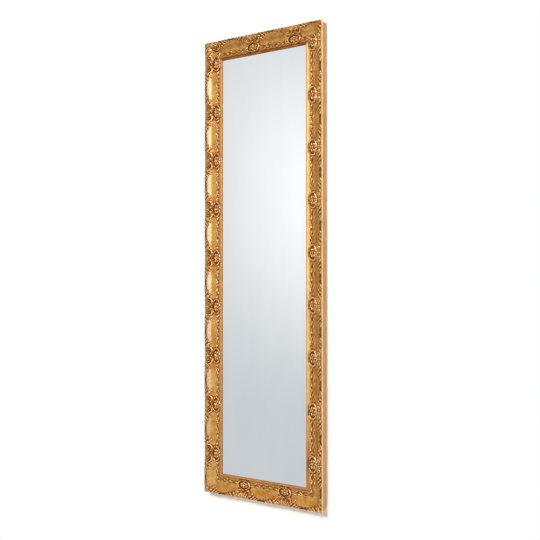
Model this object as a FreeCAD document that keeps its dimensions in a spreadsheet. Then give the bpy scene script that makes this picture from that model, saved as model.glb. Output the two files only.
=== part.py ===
"""A full-length wall mirror: a mitred, gilded moulding with pressed ornament, its pane, backing and hangers.

The front faces -Y and +Z is up. The origin lies on the wall, behind the middle of the mirror. Each length of
moulding is drawn in its own frame: u from its outer edge inwards, v from its back forwards, s along its run.
"""

import FreeCAD
import Part
import math
import os
import re
import Sketcher
from FreeCAD import Placement, Rotation, Vector

# Driving sizes in millimetres, degrees and counts: alias, value, meaning
SIZES = [
    ("FrameWidth", 500, "outer width of the frame"),
    ("FrameHeight", 1600, "outer height of the frame"),
    ("MouldingWidth", 70, "outer edge to sight edge"),
    ("MouldingDepth", 30, "back to the crest of the rim"),
    ("SideInset", 5, "step in of the plain band along the back of the outer side"),
    ("SideBand", 16, "height of that band, up to its cove"),
    ("CrestRadius", 5, "outer rounding of the rim"),
    ("RimWidth", 15, "outer edge to the start of the scoop"),
    ("RimDrop", 2, "fall of the rim from its crest to the scoop"),
    ("ScoopSag", 4, "hollow of the scoop below its chord"),
    ("BandWidth", 18, "width of the inner ornament band"),
    ("BandBase", 13, "height of the band's quirks above the back"),
    ("BandRise", 1.5, "rise of the band's round above its quirks"),
    ("QuirkWidth", 1, "flat groove on each side of the round"),
    ("LipWidth", 11, "width of the plain lip beside the pane"),
    ("LipHeight", 18, "height of the lip above the back"),
    ("LipTopWidth", 5, "width of the lip's flat top at the sight edge"),
    ("RebateWidth", 5, "width of the rebate for the pane"),
    ("RebateDepth", 14.2, "depth of the rebate from the back"),
    ("PaneThickness", 4, "mirror glass"),
    ("PaneClearance", 2, "gap round the pane in the rebate"),
    ("BoardThickness", 3, "hardboard backing"),
    ("BlockLength", 30, "setting block under the pane"),
    ("BlockInset", 60, "pane's corner to the near end of a block"),
    ("PointLength", 14, "glazing point"),
    ("PointWidth", 8, "glazing point"),
    ("PointThickness", 0.4, "glazing point"),
    ("PointGrip", 6, "length of a point inside the wood"),
    ("PointsPerStile", 8, "count"),
    ("PointsPerRail", 2, "count"),
    ("NailLeg", 8, "leg of a V-nail"),
    ("NailThickness", 0.4, "steel of a V-nail"),
    ("NailDepth", 10, "depth of a V-nail in the wood"),
    ("NailInset", 20, "outer corner to the first V-nail"),
    ("NailSpacing", 25, "between the two V-nails of a corner"),
    ("BumperHeight", 6, "stand-off from the wall"),
    ("BumperRadius", 7, "glued face of a bumper"),
    ("BumperTipRadius", 5.5, "wall face of a bumper"),
    ("BumperInset", 30, "outer edge of a stile to a bumper's centre"),
    ("BumperEnd", 60, "end of a stile to a bumper's centre"),
    ("HangerDrop", 350, "top of the frame to a ring's bar"),
    ("HangerInset", 32, "outer edge of a stile to a hanger's middle"),
    ("StrapWidth", 18, "hanger strap"),
    ("StrapLength", 42, "ring's bar to the end of the strap"),
    ("StrapSheet", 1, "sheet that is folded double"),
    ("RingWire", 3, "diameter of the ring's wire"),
    ("RingBoreClearance", 0.1, "round the ring's bar in the strap"),
    ("RingSidePlay", 0.6, "strap's edge to the bend of the ring"),
    ("RingBend", 3.4, "bend radius beside the bar"),
    ("RingArm", 4.6, "straight arm of the ring"),
    ("RingRestGap", 0.3, "ring to the wood where it leans back"),
    ("ScrewRadius", 1.6, "hanger screw's shank"),
    ("ScrewLength", 18, "hanger screw's shank"),
    ("ScrewHeadRadius", 3.2, "pan head"),
    ("ScrewHeadHeight", 1.8, "pan head"),
    ("ScrewHoleClearance", 0.2, "round the shank in the strap"),
    ("ScrewDrop", 12, "ring's bar to the first screw"),
    ("ScrewSpacing", 20, "between the two screws of a hanger"),
    ("Pitch", 173, "one repeat of the pressed ornament"),
    ("LeftShift", -31, "middle of the left stile to a medallion, along s"),
    ("RightShift", 42, "middle of the right stile to a medallion, along s"),
    ("TopShift", 42, "middle of the top rail to a medallion, along s"),
    ("BottomShift", -81, "middle of the bottom rail to a medallion, along s"),
    ("RosetteInset", 42, "outer edge to the middle of a rosette"),
    ("RosetteRadius", 20.5, "round plaque of a rosette"),
    ("RosetteProud", 3, "plaque above the wood at its outer and inner edge"),
    ("RosetteBlank", 14, "height of the plaque before its back is fitted to the wood"),
    ("HoopRadius", 18.3, "raised hoop of a rosette"),
    ("HoopSection", 2.6, "half thickness of the hoop"),
    ("PetalCount", 8, "count"),
    ("PetalOrbit", 10, "rosette's middle to the middle of a petal"),
    ("PetalRadius", 4.1, "round petal"),
    ("KnobRadius", 5, "knob in the middle of a rosette"),
    ("ShellFoot", 6, "round foot of the shell, between rosette and rim"),
    ("RayCount", 5, "count"),
    ("RaySpread", 120, "angle between the outermost rays of a shell"),
    ("RayLength", 10, "rim's inner edge to the end of a ray"),
    ("RayRoot", 1.6, "radius of a ray at the shell's foot"),
    ("RayTip", 2.8, "radius of a ray at its end"),
    ("VoluteSpan", 15.5, "shell's middle to a scroll"),
    ("VoluteInset", 13, "outer edge to a scroll"),
    ("VoluteRadius", 3.6, "coil of a scroll"),
    ("VoluteSection", 1.7, "half thickness of the coil"),
    ("EyeRadius", 2.4, "bead in the eye of a scroll"),
    ("LeafStart", 27, "medallion's middle to the root of a leaf"),
    ("LeafStep", 10, "along the run, between the joints of a leaf's rib"),
    ("LeafInset", 8, "outer edge to the root of a leaf"),
    ("LeafDive", 1.3, "first step of the rib's curve into the scoop"),
    ("LeafSteps", 3, "count"),
    ("LeafRib", 3.2, "radius of the rib at its root"),
    ("LeafTaper", 0.4, "loss of radius at each joint"),
    ("LeafCurl", 3.4, "radius of the curled tip"),
    ("LobeReach", 8, "side lobe, along the run"),
    ("LobeSpread", 4, "side lobe, across the run"),
    ("LobeRoot", 1.3, "radius of a side lobe at the rib"),
    ("LobeTip", 2.2, "radius of a side lobe at its end"),
    ("RunLeaves", 4, "leaves of a garland on each side of its tuft"),
    ("RunStep", 12, "between the leaves of a garland"),
    ("RunStem", 1.7, "radius of the garland's stem"),
    ("RunReach", 7, "leaf of a garland, along the run"),
    ("RunSpread", 4.6, "leaf of a garland, across the run"),
    ("RunRoot", 1.2, "radius of a garland's leaf at the stem"),
    ("RunTip", 2.5, "radius of a garland's leaf at its end"),
    ("TuftRadius", 4.4, "knot in the middle of a garland"),
    ("SmallestOffcut", 20, "volume under which an ornament's cut end breaks away"),
]

ACROSS, FORWARD, ALONG = Vector(1, 0, 0), Vector(0, 1, 0), Vector(0, 0, 1)
RIGHT, BACK, UP = Vector(1, 0, 0), Vector(0, 1, 0), Vector(0, 0, 1)

doc = FreeCAD.newDocument("WallMirror")
sheet = doc.addObject("Spreadsheet::Sheet", "Sizes")
for row, (alias, number, meaning) in enumerate(SIZES, start=1):
    sheet.set(f"A{row}", meaning)
    sheet.set(f"B{row}", str(number))
    sheet.setAlias(f"B{row}", alias)
doc.recompute()
ALIASES = [alias for alias, _, _ in SIZES]


def named(formula):
    """The formula with each alias written as the sheet's cell."""
    return re.sub("[A-Za-z]+", lambda word: f"Sizes.{word[0]}" if word[0] in ALIASES else word[0], formula)


def size(formula):
    """The number that a formula of aliases gives."""
    return float(sheet.evalExpression(named(formula)))


def count(alias):
    """A whole number from the sheet."""
    return int(round(size(alias)))


def bind(item, **formulas):
    """Ties properties of an object to formulas of the sheet's aliases."""
    for prop, formula in formulas.items():
        item.setExpression(prop, named(formula))
    return item


def put(item, x="0", y="0", z="0", turn=None):
    """Ties an object's place to the sheet, after turning it."""
    if turn:
        item.Placement = Placement(Vector(), turn)
    for axis, formula in zip("xyz", (x, y, z)):
        item.setExpression(f"Placement.Base.{axis}", named(formula))
    return item


def primitive(kind, name, **formulas):
    """A primitive solid whose sizes are tied to the sheet."""
    return bind(doc.addObject(f"Part::{kind}", name), **formulas)


def joined(kind, name, pieces):
    """A fusion or a compound of other objects."""
    item = doc.addObject(f"Part::{kind}", name)
    setattr(item, "Links" if kind == "Compound" else "Shapes", pieces)
    return item


def cut(name, base, tool):
    """What is left of one object after another is taken out of it."""
    item = doc.addObject("Part::Cut", name)
    item.Base, item.Tool = base, tool
    return item


# The moulding's section, from the cove of its outer side over the front to the sight edge
BAND_START = "(MouldingWidth - LipWidth - BandWidth)"
BAND_END = "(MouldingWidth - LipWidth)"
RIM_END = "(MouldingDepth - RimDrop)"
RIM_RADIUS = "(((RimWidth - CrestRadius) ^ 2 + RimDrop ^ 2) / (2 * RimDrop))"
SCOOP_CHORD_SQUARED = f"(({BAND_START} - RimWidth) ^ 2 + ({RIM_END} - BandBase) ^ 2)"
SCOOP_RADIUS = f"({SCOOP_CHORD_SQUARED} / (8 * ScoopSag) + ScoopSag / 2)"
ROUND_CHORD = "(BandWidth - 2 * QuirkWidth)"
ROUND_RADIUS = f"({ROUND_CHORD} ^ 2 / (8 * BandRise) + BandRise / 2)"
LIP_TOP = "(MouldingWidth - LipTopWidth)"
REBATE_WALL = "(MouldingWidth - RebateWidth)"

# Each entry is a corner (u, v) and the radius of the arc that leads to it: over 0 round, under 0 hollow
FRONT = [
    ("0", "SideBand + SideInset", None),
    ("0", "MouldingDepth - CrestRadius", None),
    ("CrestRadius", "MouldingDepth", ("CrestRadius", 1)),
    ("RimWidth", RIM_END, (RIM_RADIUS, 1)),
    (BAND_START, "BandBase", (SCOOP_RADIUS, -1)),
    (f"{BAND_START} + QuirkWidth", "BandBase", None),
    (f"{BAND_END} - QuirkWidth", "BandBase", (ROUND_RADIUS, 1)),
    (BAND_END, "BandBase", None),
    (LIP_TOP, "LipHeight", None),
    ("MouldingWidth", "LipHeight", None),
]
BEHIND = [
    ("MouldingWidth", "RebateDepth", None),
    (REBATE_WALL, "RebateDepth", None),
    (REBATE_WALL, "0", None),
    ("SideInset", "0", None),
    ("SideInset", "SideBand", None),
]
COVE = ("SideInset", -1)
SOLID_BEHIND = [("MouldingWidth", "0", None), ("0", "0", None)]


def arc_between(start, end, radius, side):
    """The arc from start to end, round (side 1) or hollow (side -1), and the order of its two ends."""
    chord = end - start
    middle = (start + end) / 2
    inwards = Vector(chord.y, -chord.x, 0).normalize() * side
    centre = middle + inwards * math.sqrt(max(radius**2 - (chord.Length / 2) ** 2, 0))
    angles = [math.atan2(p.y - centre.y, p.x - centre.x) for p in (start, end)]
    first, last = angles if side < 0 else reversed(angles)
    if last < first:
        last += 2 * math.pi
    circle = Part.Circle(centre, Vector(0, 0, 1), radius)
    return Part.ArcOfCircle(circle, first, last), (1, 2) if side < 0 else (2, 1)


def draw_outline(sketch, corners, closing=None):
    """A closed outline whose corners and radii are all tied to the sheet."""
    spots = [Vector(size(u), size(v), 0) for u, v, _ in corners]
    arcs = [arc for _, _, arc in corners[1:]] + [closing]
    edges = []
    for index, arc in enumerate(arcs):
        start, end = spots[index], spots[(index + 1) % len(spots)]
        if arc:
            shape, ends = arc_between(start, end, size(arc[0]), arc[1])
        else:
            shape, ends = Part.LineSegment(start, end), (1, 2)
        edges.append((sketch.addGeometry(shape, False), ends))
    for index, (edge, ends) in enumerate(edges):
        after, after_ends = edges[(index + 1) % len(edges)]
        sketch.addConstraint(Sketcher.Constraint("Coincident", edge, ends[1], after, after_ends[0]))
    for (edge, ends), (u, v, _) in zip(edges, corners):
        for kind, axis, formula in (("DistanceX", -2, u), ("DistanceY", -1, v)):
            if formula == "0":
                sketch.addConstraint(Sketcher.Constraint("PointOnObject", edge, ends[0], axis))
                continue
            tie = Sketcher.Constraint(kind, -1, 1, edge, ends[0], size(formula))
            sketch.setExpression(f"Constraints[{sketch.addConstraint(tie)}]", named(formula))
    for (edge, _), arc in zip(edges, arcs):
        if arc:
            tie = Sketcher.Constraint("Radius", edge, size(arc[0]))
            sketch.setExpression(f"Constraints[{sketch.addConstraint(tie)}]", named(arc[0]))


def new_sketch(body, role, name):
    """An empty sketch on one of a body's own origin planes."""
    sketch = body.newObject("Sketcher::SketchObject", name)
    plane = next(f for f in body.Origin.OriginFeatures if f.Role == role)
    sketch.AttachmentSupport = [(plane, "")]
    sketch.MapMode = "FlatFace"
    return sketch


def run_of_moulding(name, corners, closing, length):
    """A straight length of a section, centred on s = 0."""
    body = doc.addObject("PartDesign::Body", name)
    section = new_sketch(body, "XY_Plane", f"{name}_section")
    draw_outline(section, corners, closing)
    pad = body.newObject("PartDesign::Pad", f"{name}_length")
    pad.Profile = section
    pad.SideType = "Symmetric"
    bind(pad, Length=length)
    return body


def mitre_ends(body, length):
    """Cuts both ends of a length of moulding at 45 degrees, from its outer corners inwards."""
    half, inner = f"{length} / 2", f"{length} / 2 - MouldingWidth"
    for end, reverse in (("far", False), ("near", True)):
        sketch = new_sketch(body, "XZ_Plane", f"{body.Name}_{end}_mitre")
        sign = -1 if reverse else 1
        spots = [(0, sign * size(half)), (size("MouldingWidth"), sign * size(inner))]
        spots.append((size("MouldingWidth"), sign * size(half)))
        points = [Vector(u, s, 0) for u, s in spots]
        sides = [
            sketch.addGeometry(Part.LineSegment(a, b), False)
            for a, b in zip(points, points[1:] + points[:1])
        ]
        for side, after in zip(sides, sides[1:] + sides[:1]):
            sketch.addConstraint(Sketcher.Constraint("Coincident", side, 2, after, 1))
        sketch.addConstraint(Sketcher.Constraint("PointOnObject", sides[0], 1, -2))
        sketch.addConstraint(Sketcher.Constraint("Horizontal", sides[2]))
        sketch.addConstraint(Sketcher.Constraint("Vertical", sides[1]))
        wide = Sketcher.Constraint("DistanceX", -1, 1, sides[1], 1, size("MouldingWidth"))
        sketch.setExpression(f"Constraints[{sketch.addConstraint(wide)}]", named("MouldingWidth"))
        for side, formula in ((sides[0], half), (sides[1], inner)):
            ends = ((side, 1), (-1, 1)) if reverse else ((-1, 1), (side, 1))
            tie = Sketcher.Constraint("DistanceY", *ends[0], *ends[1], size(formula))
            sketch.setExpression(f"Constraints[{sketch.addConstraint(tie)}]", named(formula))
        pocket = body.newObject("PartDesign::Pocket", f"{body.Name}_{end}_cut")
        pocket.Profile = sketch
        pocket.SideType = "Symmetric"
        bind(pocket, Length="4 * MouldingDepth")


# Each length: run, place of its outer back edge, directions of u and s, shift of its ornament
LENGTHS = {
    "left_stile": ("FrameHeight", ("- FrameWidth / 2", "0"), RIGHT, -UP, "LeftShift"),
    "right_stile": ("FrameHeight", ("FrameWidth / 2", "0"), -RIGHT, UP, "RightShift"),
    "top_rail": ("FrameWidth", ("0", "FrameHeight / 2"), -UP, -RIGHT, "TopShift"),
    "bottom_rail": ("FrameWidth", ("0", "- FrameHeight / 2"), UP, RIGHT, "BottomShift"),
}


def moulding_lengths():
    """The two stiles and the two rails, standing off the wall by the bumpers."""
    bodies = {}
    for name, (length, (x, z), inwards, along, _) in LENGTHS.items():
        body = run_of_moulding(name, FRONT + BEHIND, COVE, length)
        mitre_ends(body, length)
        put(body, x, "- BumperHeight", z, Rotation(inwards, -BACK, along, "ZXY"))
        bodies[name] = body
    return bodies


def front_at(u):
    """Height of the wood's front at u, and its slope in degrees."""
    crest, rim, start, end = (size(f) for f in ("CrestRadius", "RimWidth", BAND_START, BAND_END))
    quirk, base = size("QuirkWidth"), size("BandBase")
    if u < crest:
        centre, radius, side = (crest, size("MouldingDepth - CrestRadius")), crest, 1
    elif u < rim:
        radius, side = size(RIM_RADIUS), 1
        centre = (crest, size("MouldingDepth") - radius)
    elif u < start:
        radius, side = size(SCOOP_RADIUS), -1
        chord = Vector(start - rim, base - size(RIM_END), 0)
        out = Vector(-chord.y, chord.x, 0).normalize() * (radius - size("ScoopSag"))
        centre = ((rim + start) / 2 + out.x, (size(RIM_END) + base) / 2 + out.y)
    elif start + quirk < u < end - quirk:
        radius, side = size(ROUND_RADIUS), 1
        centre = ((start + end) / 2, base + size("BandRise") - radius)
    elif end < u < size(LIP_TOP):
        climb = (size("LipHeight") - base) / (size(LIP_TOP) - end)
        return base + climb * (u - end), math.degrees(math.atan(climb))
    else:
        return (base if u < end else size("LipHeight")), 0.0
    rise = math.sqrt(radius**2 - (u - centre[0]) ** 2)
    return centre[1] + side * rise, math.degrees(math.atan(-side * (u - centre[0]) / rise))


def on_wood(u, s, lift=0.0):
    """The point on the wood's front at u and s, lifted towards the viewer."""
    return Vector(u, front_at(u)[0] + lift, s)


def ball(name, radius, spot):
    """A ball whose radius is tied to the sheet."""
    item = primitive("Sphere", name, Radius=radius)
    item.Placement = Placement(spot, Rotation())
    return item


# A tapered leaf ends in a ball a little thicker than its own end
BALL_EXCESS = 1.06


def tapered(name, start, end, root, tip):
    """A leaf that widens or narrows from start to end, with a round end."""
    item = primitive("Cone", name, Radius1=root, Radius2=f"({tip}) / {BALL_EXCESS}")
    item.Height = (end - start).Length
    item.Placement = Placement(start, Rotation(UP, end - start))
    return [item, ball(f"{name}_end", tip, end)]


def medallion(seat):
    """A rosette with its hoop, petals and knob, and the shell and scrolls between it and the rim."""
    middle, radius = size("RosetteInset"), size("RosetteRadius")
    heights = [front_at(middle + side * radius)[0] + size("RosetteProud") for side in (-1, 1)]
    lean = Rotation(ALONG, math.degrees(math.atan2(heights[1] - heights[0], 2 * radius)))
    face = Vector(middle, sum(heights) / 2, 0)
    upright = lean * Rotation(ACROSS, -90)
    plaque = primitive("Cylinder", "plaque", Radius="RosetteRadius", Height="RosetteBlank")
    plaque.Placement = Placement(face - lean * FORWARD * size("RosetteBlank"), upright)
    hoop = primitive("Torus", "hoop", Radius1="HoopRadius", Radius2="HoopSection")
    hoop.Placement = Placement(face, upright)
    pieces = [plaque, hoop, ball("knob", "KnobRadius", face)]
    for index in range(count("PetalCount")):
        aim = lean * Rotation(FORWARD, 360.0 * index / count("PetalCount"))
        pieces.append(ball(f"petal_{index}", "PetalRadius", face + aim * ALONG * size("PetalOrbit")))
    root = on_wood(size("RimWidth"), 0.0)
    foot = Vector((root.x + middle - radius) / 2, root.y - size("RosetteProud"), 0)
    pieces.append(ball("shell_foot", "ShellFoot", foot))
    for index in range(count("RayCount")):
        turn = math.radians(size("RaySpread") * (index / (count("RayCount") - 1) - 0.5))
        reach = size("RayLength")
        end = on_wood(root.x - reach * math.cos(turn), reach * math.sin(turn))
        pieces += tapered(f"ray_{index}", root, end, "RayRoot", "RayTip")
    for side in (-1, 1):
        spot = on_wood(size("VoluteInset"), side * size("VoluteSpan"))
        coil = primitive("Torus", f"coil_{side + 1}", Radius1="VoluteRadius", Radius2="VoluteSection")
        coil.Placement = Placement(spot, Rotation(ALONG, front_at(spot.x)[1]) * Rotation(ACROSS, -90))
        pieces += [coil, ball(f"eye_{side + 1}", "EyeRadius", spot)]
    return cut("medallion_unit", joined("MultiFuse", "medallion_blank", pieces), seat)


def leaf_spray(seat, side):
    """One acanthus leaf, springing from the shell along the rim and curling down into the scoop."""
    steps, hand = count("LeafSteps"), "left" if side < 0 else "right"
    joints = []
    for index in range(steps + 1):
        u = size("LeafInset") + size("LeafDive") * index**2
        joints.append(on_wood(u, side * (size("LeafStart") + size("LeafStep") * index)))
    pieces = [ball(f"{hand}_root", "LeafRib", joints[0])]
    for index, (start, end) in enumerate(zip(joints, joints[1:])):
        thick, thin = f"LeafRib - {index} * LeafTaper", f"LeafRib - {index + 1} * LeafTaper"
        tip = "LeafCurl" if index + 1 == steps else thin
        pieces += tapered(f"{hand}_rib_{index}", start, end, f"({thick}) / {BALL_EXCESS}", tip)
        lobe = on_wood(end.x - size("LobeSpread"), end.z + side * size("LobeReach"))
        if index + 1 < steps:
            pieces += tapered(f"{hand}_lobe_{index}", end, lobe, "LobeRoot", "LobeTip")
    return cut(f"{hand}_leaf_unit", joined("MultiFuse", f"{hand}_leaf_blank", pieces), seat)


def leaf_run(seat):
    """A garland of leaves on the inner band, either side of a knot, centred on s = 0."""
    middle, step = size(f"({BAND_START} + {BAND_END}) / 2"), size("RunStep")
    half = count("RunLeaves") * step
    stem = primitive("Cylinder", "stem", Radius="RunStem", Height="2 * RunLeaves * RunStep")
    stem.Placement = Placement(on_wood(middle, -half), Rotation())
    pieces = [stem, ball("tuft", "TuftRadius", on_wood(middle, 0.0))]
    for side in (-1, 1):
        for index in range(count("RunLeaves")):
            spread = size("RunSpread") * (1 if index % 2 else -1)
            start = side * (index + 0.5) * step
            end = on_wood(middle + spread, start + side * size("RunReach"))
            pieces += tapered(f"run_{side + 1}_{index}", on_wood(middle, start), end, "RunRoot", "RunTip")
    return cut("run_unit", joined("MultiFuse", "run_blank", pieces), seat)


def mitred_room(length):
    """The space over a length of moulding between its two mitre planes."""
    half, wide = size(length) / 2, size("MouldingWidth")
    corners = [(0, -half), (0, half), (wide, half - wide), (wide, wide - half), (0, -half)]
    outline = Part.makePolygon([Vector(u, 0, s) for u, s in corners])
    return Part.Face(outline).extrude(FORWARD * 2 * size("MouldingDepth"))


def repeats(unit, length, first):
    """Copies of an ornament at the pitch along a length, cut where the mitres cut the moulding."""
    room, half, pitch = mitred_room(length), size(length) / 2, size("Pitch")
    solids = []
    for step in range(math.floor((-half - first) / pitch) - 1, math.ceil((half - first) / pitch) + 2):
        copy = unit.Shape.copy()
        copy.translate(ALONG * (first + step * pitch))
        reach = half - size("MouldingWidth")
        if copy.BoundBox.ZMin < -reach or copy.BoundBox.ZMax > reach:
            copy = copy.common(room)
        solids += [solid for solid in copy.Solids if solid.Volume > size("SmallestOffcut")]
    return solids


def ornaments():
    """The pressed ornament of each length, as three groups of separate solids."""
    seat = run_of_moulding("seat", FRONT + SOLID_BEHIND, None, "Pitch")
    units = {
        "medallions": [(medallion(seat), 0.0)],
        "leaf_sprays": [(leaf_spray(seat, side), 0.0) for side in (-1, 1)],
        "leaf_run": [(leaf_run(seat), 0.5)],
    }
    doc.recompute()
    for unit, _ in sum(units.values(), []):
        if len(unit.Shape.Solids) != 1:
            raise RuntimeError(f"{unit.Label} is not one piece")
    groups = []
    for name, (length, (x, z), inwards, along, shift) in LENGTHS.items():
        for kind, patterns in units.items():
            solids = []
            for unit, phase in patterns:
                solids += repeats(unit, length, size(shift) + phase * size("Pitch"))
            group = doc.addObject("Part::Feature", f"{name}_{kind}")
            group.Shape = Part.makeCompound(solids)
            put(group, x, "- BumperHeight", z, Rotation(inwards, -BACK, along, "ZXY"))
            groups.append(group)
    return groups


# Levels and half sizes of what sits in the rebate
REBATE_HALF_WIDTH = f"(FrameWidth / 2 - {REBATE_WALL})"
REBATE_HALF_HEIGHT = f"(FrameHeight / 2 - {REBATE_WALL})"
PANE_HALF_WIDTH = f"({REBATE_HALF_WIDTH} - PaneClearance)"
PANE_HALF_HEIGHT = f"({REBATE_HALF_HEIGHT} - PaneClearance)"
PANE_FRONT = "(- BumperHeight - RebateDepth)"
BOARD_FRONT = f"({PANE_FRONT} + PaneThickness)"
BOARD_BACK = f"({BOARD_FRONT} + BoardThickness)"


def block(name, x, y, z, wide, deep, high):
    """A box from its lowest corner."""
    return put(primitive("Box", name, Length=wide, Width=deep, Height=high), x, y, z)


def pane_and_backing():
    """The mirror, the board behind it and the blocks that the pane stands on."""
    wide, high = f"2 * {PANE_HALF_WIDTH}", f"2 * {PANE_HALF_HEIGHT}"
    corner = (f"- {PANE_HALF_WIDTH}", f"- {PANE_HALF_HEIGHT}")
    pane = block("mirror_glass", corner[0], PANE_FRONT, corner[1], wide, "PaneThickness", high)
    board = block("backing_board", corner[0], BOARD_FRONT, corner[1], wide, "BoardThickness", high)
    starts = (f"- {PANE_HALF_WIDTH} + BlockInset", f"{PANE_HALF_WIDTH} - BlockInset - BlockLength")
    foot, block_sizes = f"- {REBATE_HALF_HEIGHT}", ("BlockLength", "PaneThickness", "PaneClearance")
    blocks = [
        block(f"setting_block_{index}", x, PANE_FRONT, foot, *block_sizes) for index, x in enumerate(starts)
    ]
    return [pane, board, joined("Compound", "setting_blocks", blocks)]


def backing_points():
    """Thin points in the rebate's wall, lying on the back of the board."""
    out = f"- {REBATE_HALF_WIDTH} - PointGrip", f"{REBATE_HALF_WIDTH} + PointGrip - PointLength"
    up = f"- {REBATE_HALF_HEIGHT} - PointGrip", f"{REBATE_HALF_HEIGHT} + PointGrip - PointLength"
    points = []
    for alias, ends in (("PointsPerStile", out), ("PointsPerRail", up)):
        half = PANE_HALF_HEIGHT if ends is out else PANE_HALF_WIDTH
        for index in range(count(alias)):
            at = f"{half} * (2 * {index} + 1 - {alias}) / {alias} - PointWidth / 2"
            for side, end in enumerate(ends):
                x, z = (end, at) if ends is out else (at, end)
                wide, high = ("PointLength", "PointWidth") if ends is out else ("PointWidth", "PointLength")
                name = f"point_{alias}_{index}_{side}"
                points.append(block(name, x, BOARD_BACK, z, wide, "PointThickness", high))
    return joined("Compound", "backing_points", points)


def corner_nails():
    """Two V-nails in the back of each mitre, one leg in each of the two lengths."""
    nails = []
    for side in (-1, 1):
        for end in (-1, 1):
            for index in range(2):
                inset = f"(NailInset + NailSpacing * {index})"
                legs = []
                shapes = (("NailLeg", "NailThickness"), ("NailThickness", "NailLeg"))
                for leg, (wide, high) in enumerate(shapes):
                    x = f"{-side} * {inset} + {side} * FrameWidth / 2" + (f" - {wide}" if side > 0 else "")
                    z = f"{-end} * {inset} + {end} * FrameHeight / 2" + (f" - {high}" if end > 0 else "")
                    name = f"nail_{side + 1}{end + 1}_{index}_{leg}"
                    legs.append(block(name, x, "- BumperHeight - NailDepth", z, wide, "NailDepth", high))
                nails.append(joined("MultiFuse", f"nail_{side + 1}{end + 1}_{index}", legs))
    return joined("Compound", "corner_nails", nails)


# The hangers, each drawn about its ring's bar
LOOP_RADIUS = "(RingWire / 2 + RingBoreClearance + StrapSheet)"
BAR_HALF = "(StrapWidth / 2 + RingSidePlay)"
BOW_RADIUS = f"({BAR_HALF} + RingBend)"
RING_REACH = f"(RingBend + RingArm + {BOW_RADIUS})"
BAR_HEIGHT = "(FrameHeight / 2 - HangerDrop)"
BAR_DEPTH = f"(- BumperHeight + {LOOP_RADIUS})"


def rod(name, radius, length, axis):
    """A round rod along an axis, from its end at the origin."""
    item = primitive("Cylinder", name, Radius=radius, Height=length)
    item.Placement = Placement(Vector(), Rotation(UP, axis))
    return item


def hanger_strap(name, x):
    """A strap folded round the ring's bar, lying on the stile, with two screw holes."""
    edge, end = f"{x} - StrapWidth / 2", f"{BAR_HEIGHT} - StrapLength"
    loop = put(rod(f"{name}_loop", LOOP_RADIUS, "StrapWidth", RIGHT), edge, BAR_DEPTH, BAR_HEIGHT)
    tail_sizes = ("StrapWidth", "2 * StrapSheet", "StrapLength")
    tail = block(f"{name}_tail", edge, "- BumperHeight", end, *tail_sizes)
    bore = rod(f"{name}_bore", "RingWire / 2 + RingBoreClearance", "StrapWidth", RIGHT)
    tools = [put(bore, edge, BAR_DEPTH, BAR_HEIGHT)]
    for index in range(2):
        hole = rod(f"{name}_hole_{index}", "ScrewRadius + ScrewHoleClearance", "2 * StrapSheet", BACK)
        drop = f"{BAR_HEIGHT} - ScrewDrop - ScrewSpacing * {index}"
        tools.append(put(hole, x, "- BumperHeight", drop))
    whole = joined("MultiFuse", f"{name}_blank", [loop, tail])
    return cut(name, whole, joined("MultiFuse", f"{name}_openings", tools))


def hanger_ring(name, x):
    """A D-ring of bent wire, leaning back against the stile above its strap."""
    wire = "RingWire / 2"
    pieces = [put(rod(f"{name}_bar", wire, f"2 * {BAR_HALF}", RIGHT), f"- {BAR_HALF}")]
    flat = Rotation(RIGHT, 90)
    for side in (-1, 1):
        bend = primitive("Torus", f"{name}_bend_{side + 1}", Radius1="RingBend", Radius2=wire)
        bend.Angle3 = 90
        turn = flat * Rotation(UP, 180 if side < 0 else 270)
        pieces.append(put(bend, f"{side} * {BAR_HALF}", "0", "RingBend", turn))
        arm = rod(f"{name}_arm_{side + 1}", wire, "RingArm", UP)
        pieces.append(put(arm, f"{side} * {BOW_RADIUS}", "0", "RingBend"))
    bow = primitive("Torus", f"{name}_bow", Radius1=BOW_RADIUS, Radius2=wire)
    bow.Angle3 = 180
    pieces.append(put(bow, "0", "0", "RingBend + RingArm", flat))
    ring = put(joined("MultiFuse", name, pieces), x, BAR_DEPTH, BAR_HEIGHT, Rotation(RIGHT, 1))
    lean = f"asin(({LOOP_RADIUS} - RingWire / 2 - RingRestGap) / {RING_REACH})"
    return bind(ring, **{"Placement.Rotation.Angle": lean})


def hanger_screws(places):
    """Pan-head screws through the straps into the stiles."""
    screws = []
    for side, x in enumerate(places):
        for index in range(2):
            drop = f"{BAR_HEIGHT} - ScrewDrop - ScrewSpacing * {index}"
            name = f"screw_{side}_{index}"
            back = "- BumperHeight + 2 * StrapSheet"
            shank = rod(f"{name}_shank", "ScrewRadius", "ScrewLength", BACK)
            put(shank, x, f"{back} - ScrewLength", drop)
            head = rod(f"{name}_head", "ScrewHeadRadius", "ScrewHeadHeight", BACK)
            put(head, x, back, drop)
            screws.append(joined("MultiFuse", name, [shank, head]))
    return joined("Compound", "hanger_screws", screws)


def wall_bumpers():
    """Tapered rubber feet on the backs of the stiles, which set the gap to the wall."""
    feet = []
    for side in (-1, 1):
        for end in (-1, 1):
            radii = {"Radius1": "BumperRadius", "Radius2": "BumperTipRadius"}
            foot = primitive("Cone", f"bumper_{side + 1}{end + 1}", Height="BumperHeight", **radii)
            x = f"{side} * (FrameWidth / 2 - BumperInset)"
            z = f"{end} * (FrameHeight / 2 - BumperEnd)"
            feet.append(put(foot, x, "- BumperHeight", z, Rotation(UP, BACK)))
    return joined("Compound", "wall_bumpers", feet)


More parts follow.
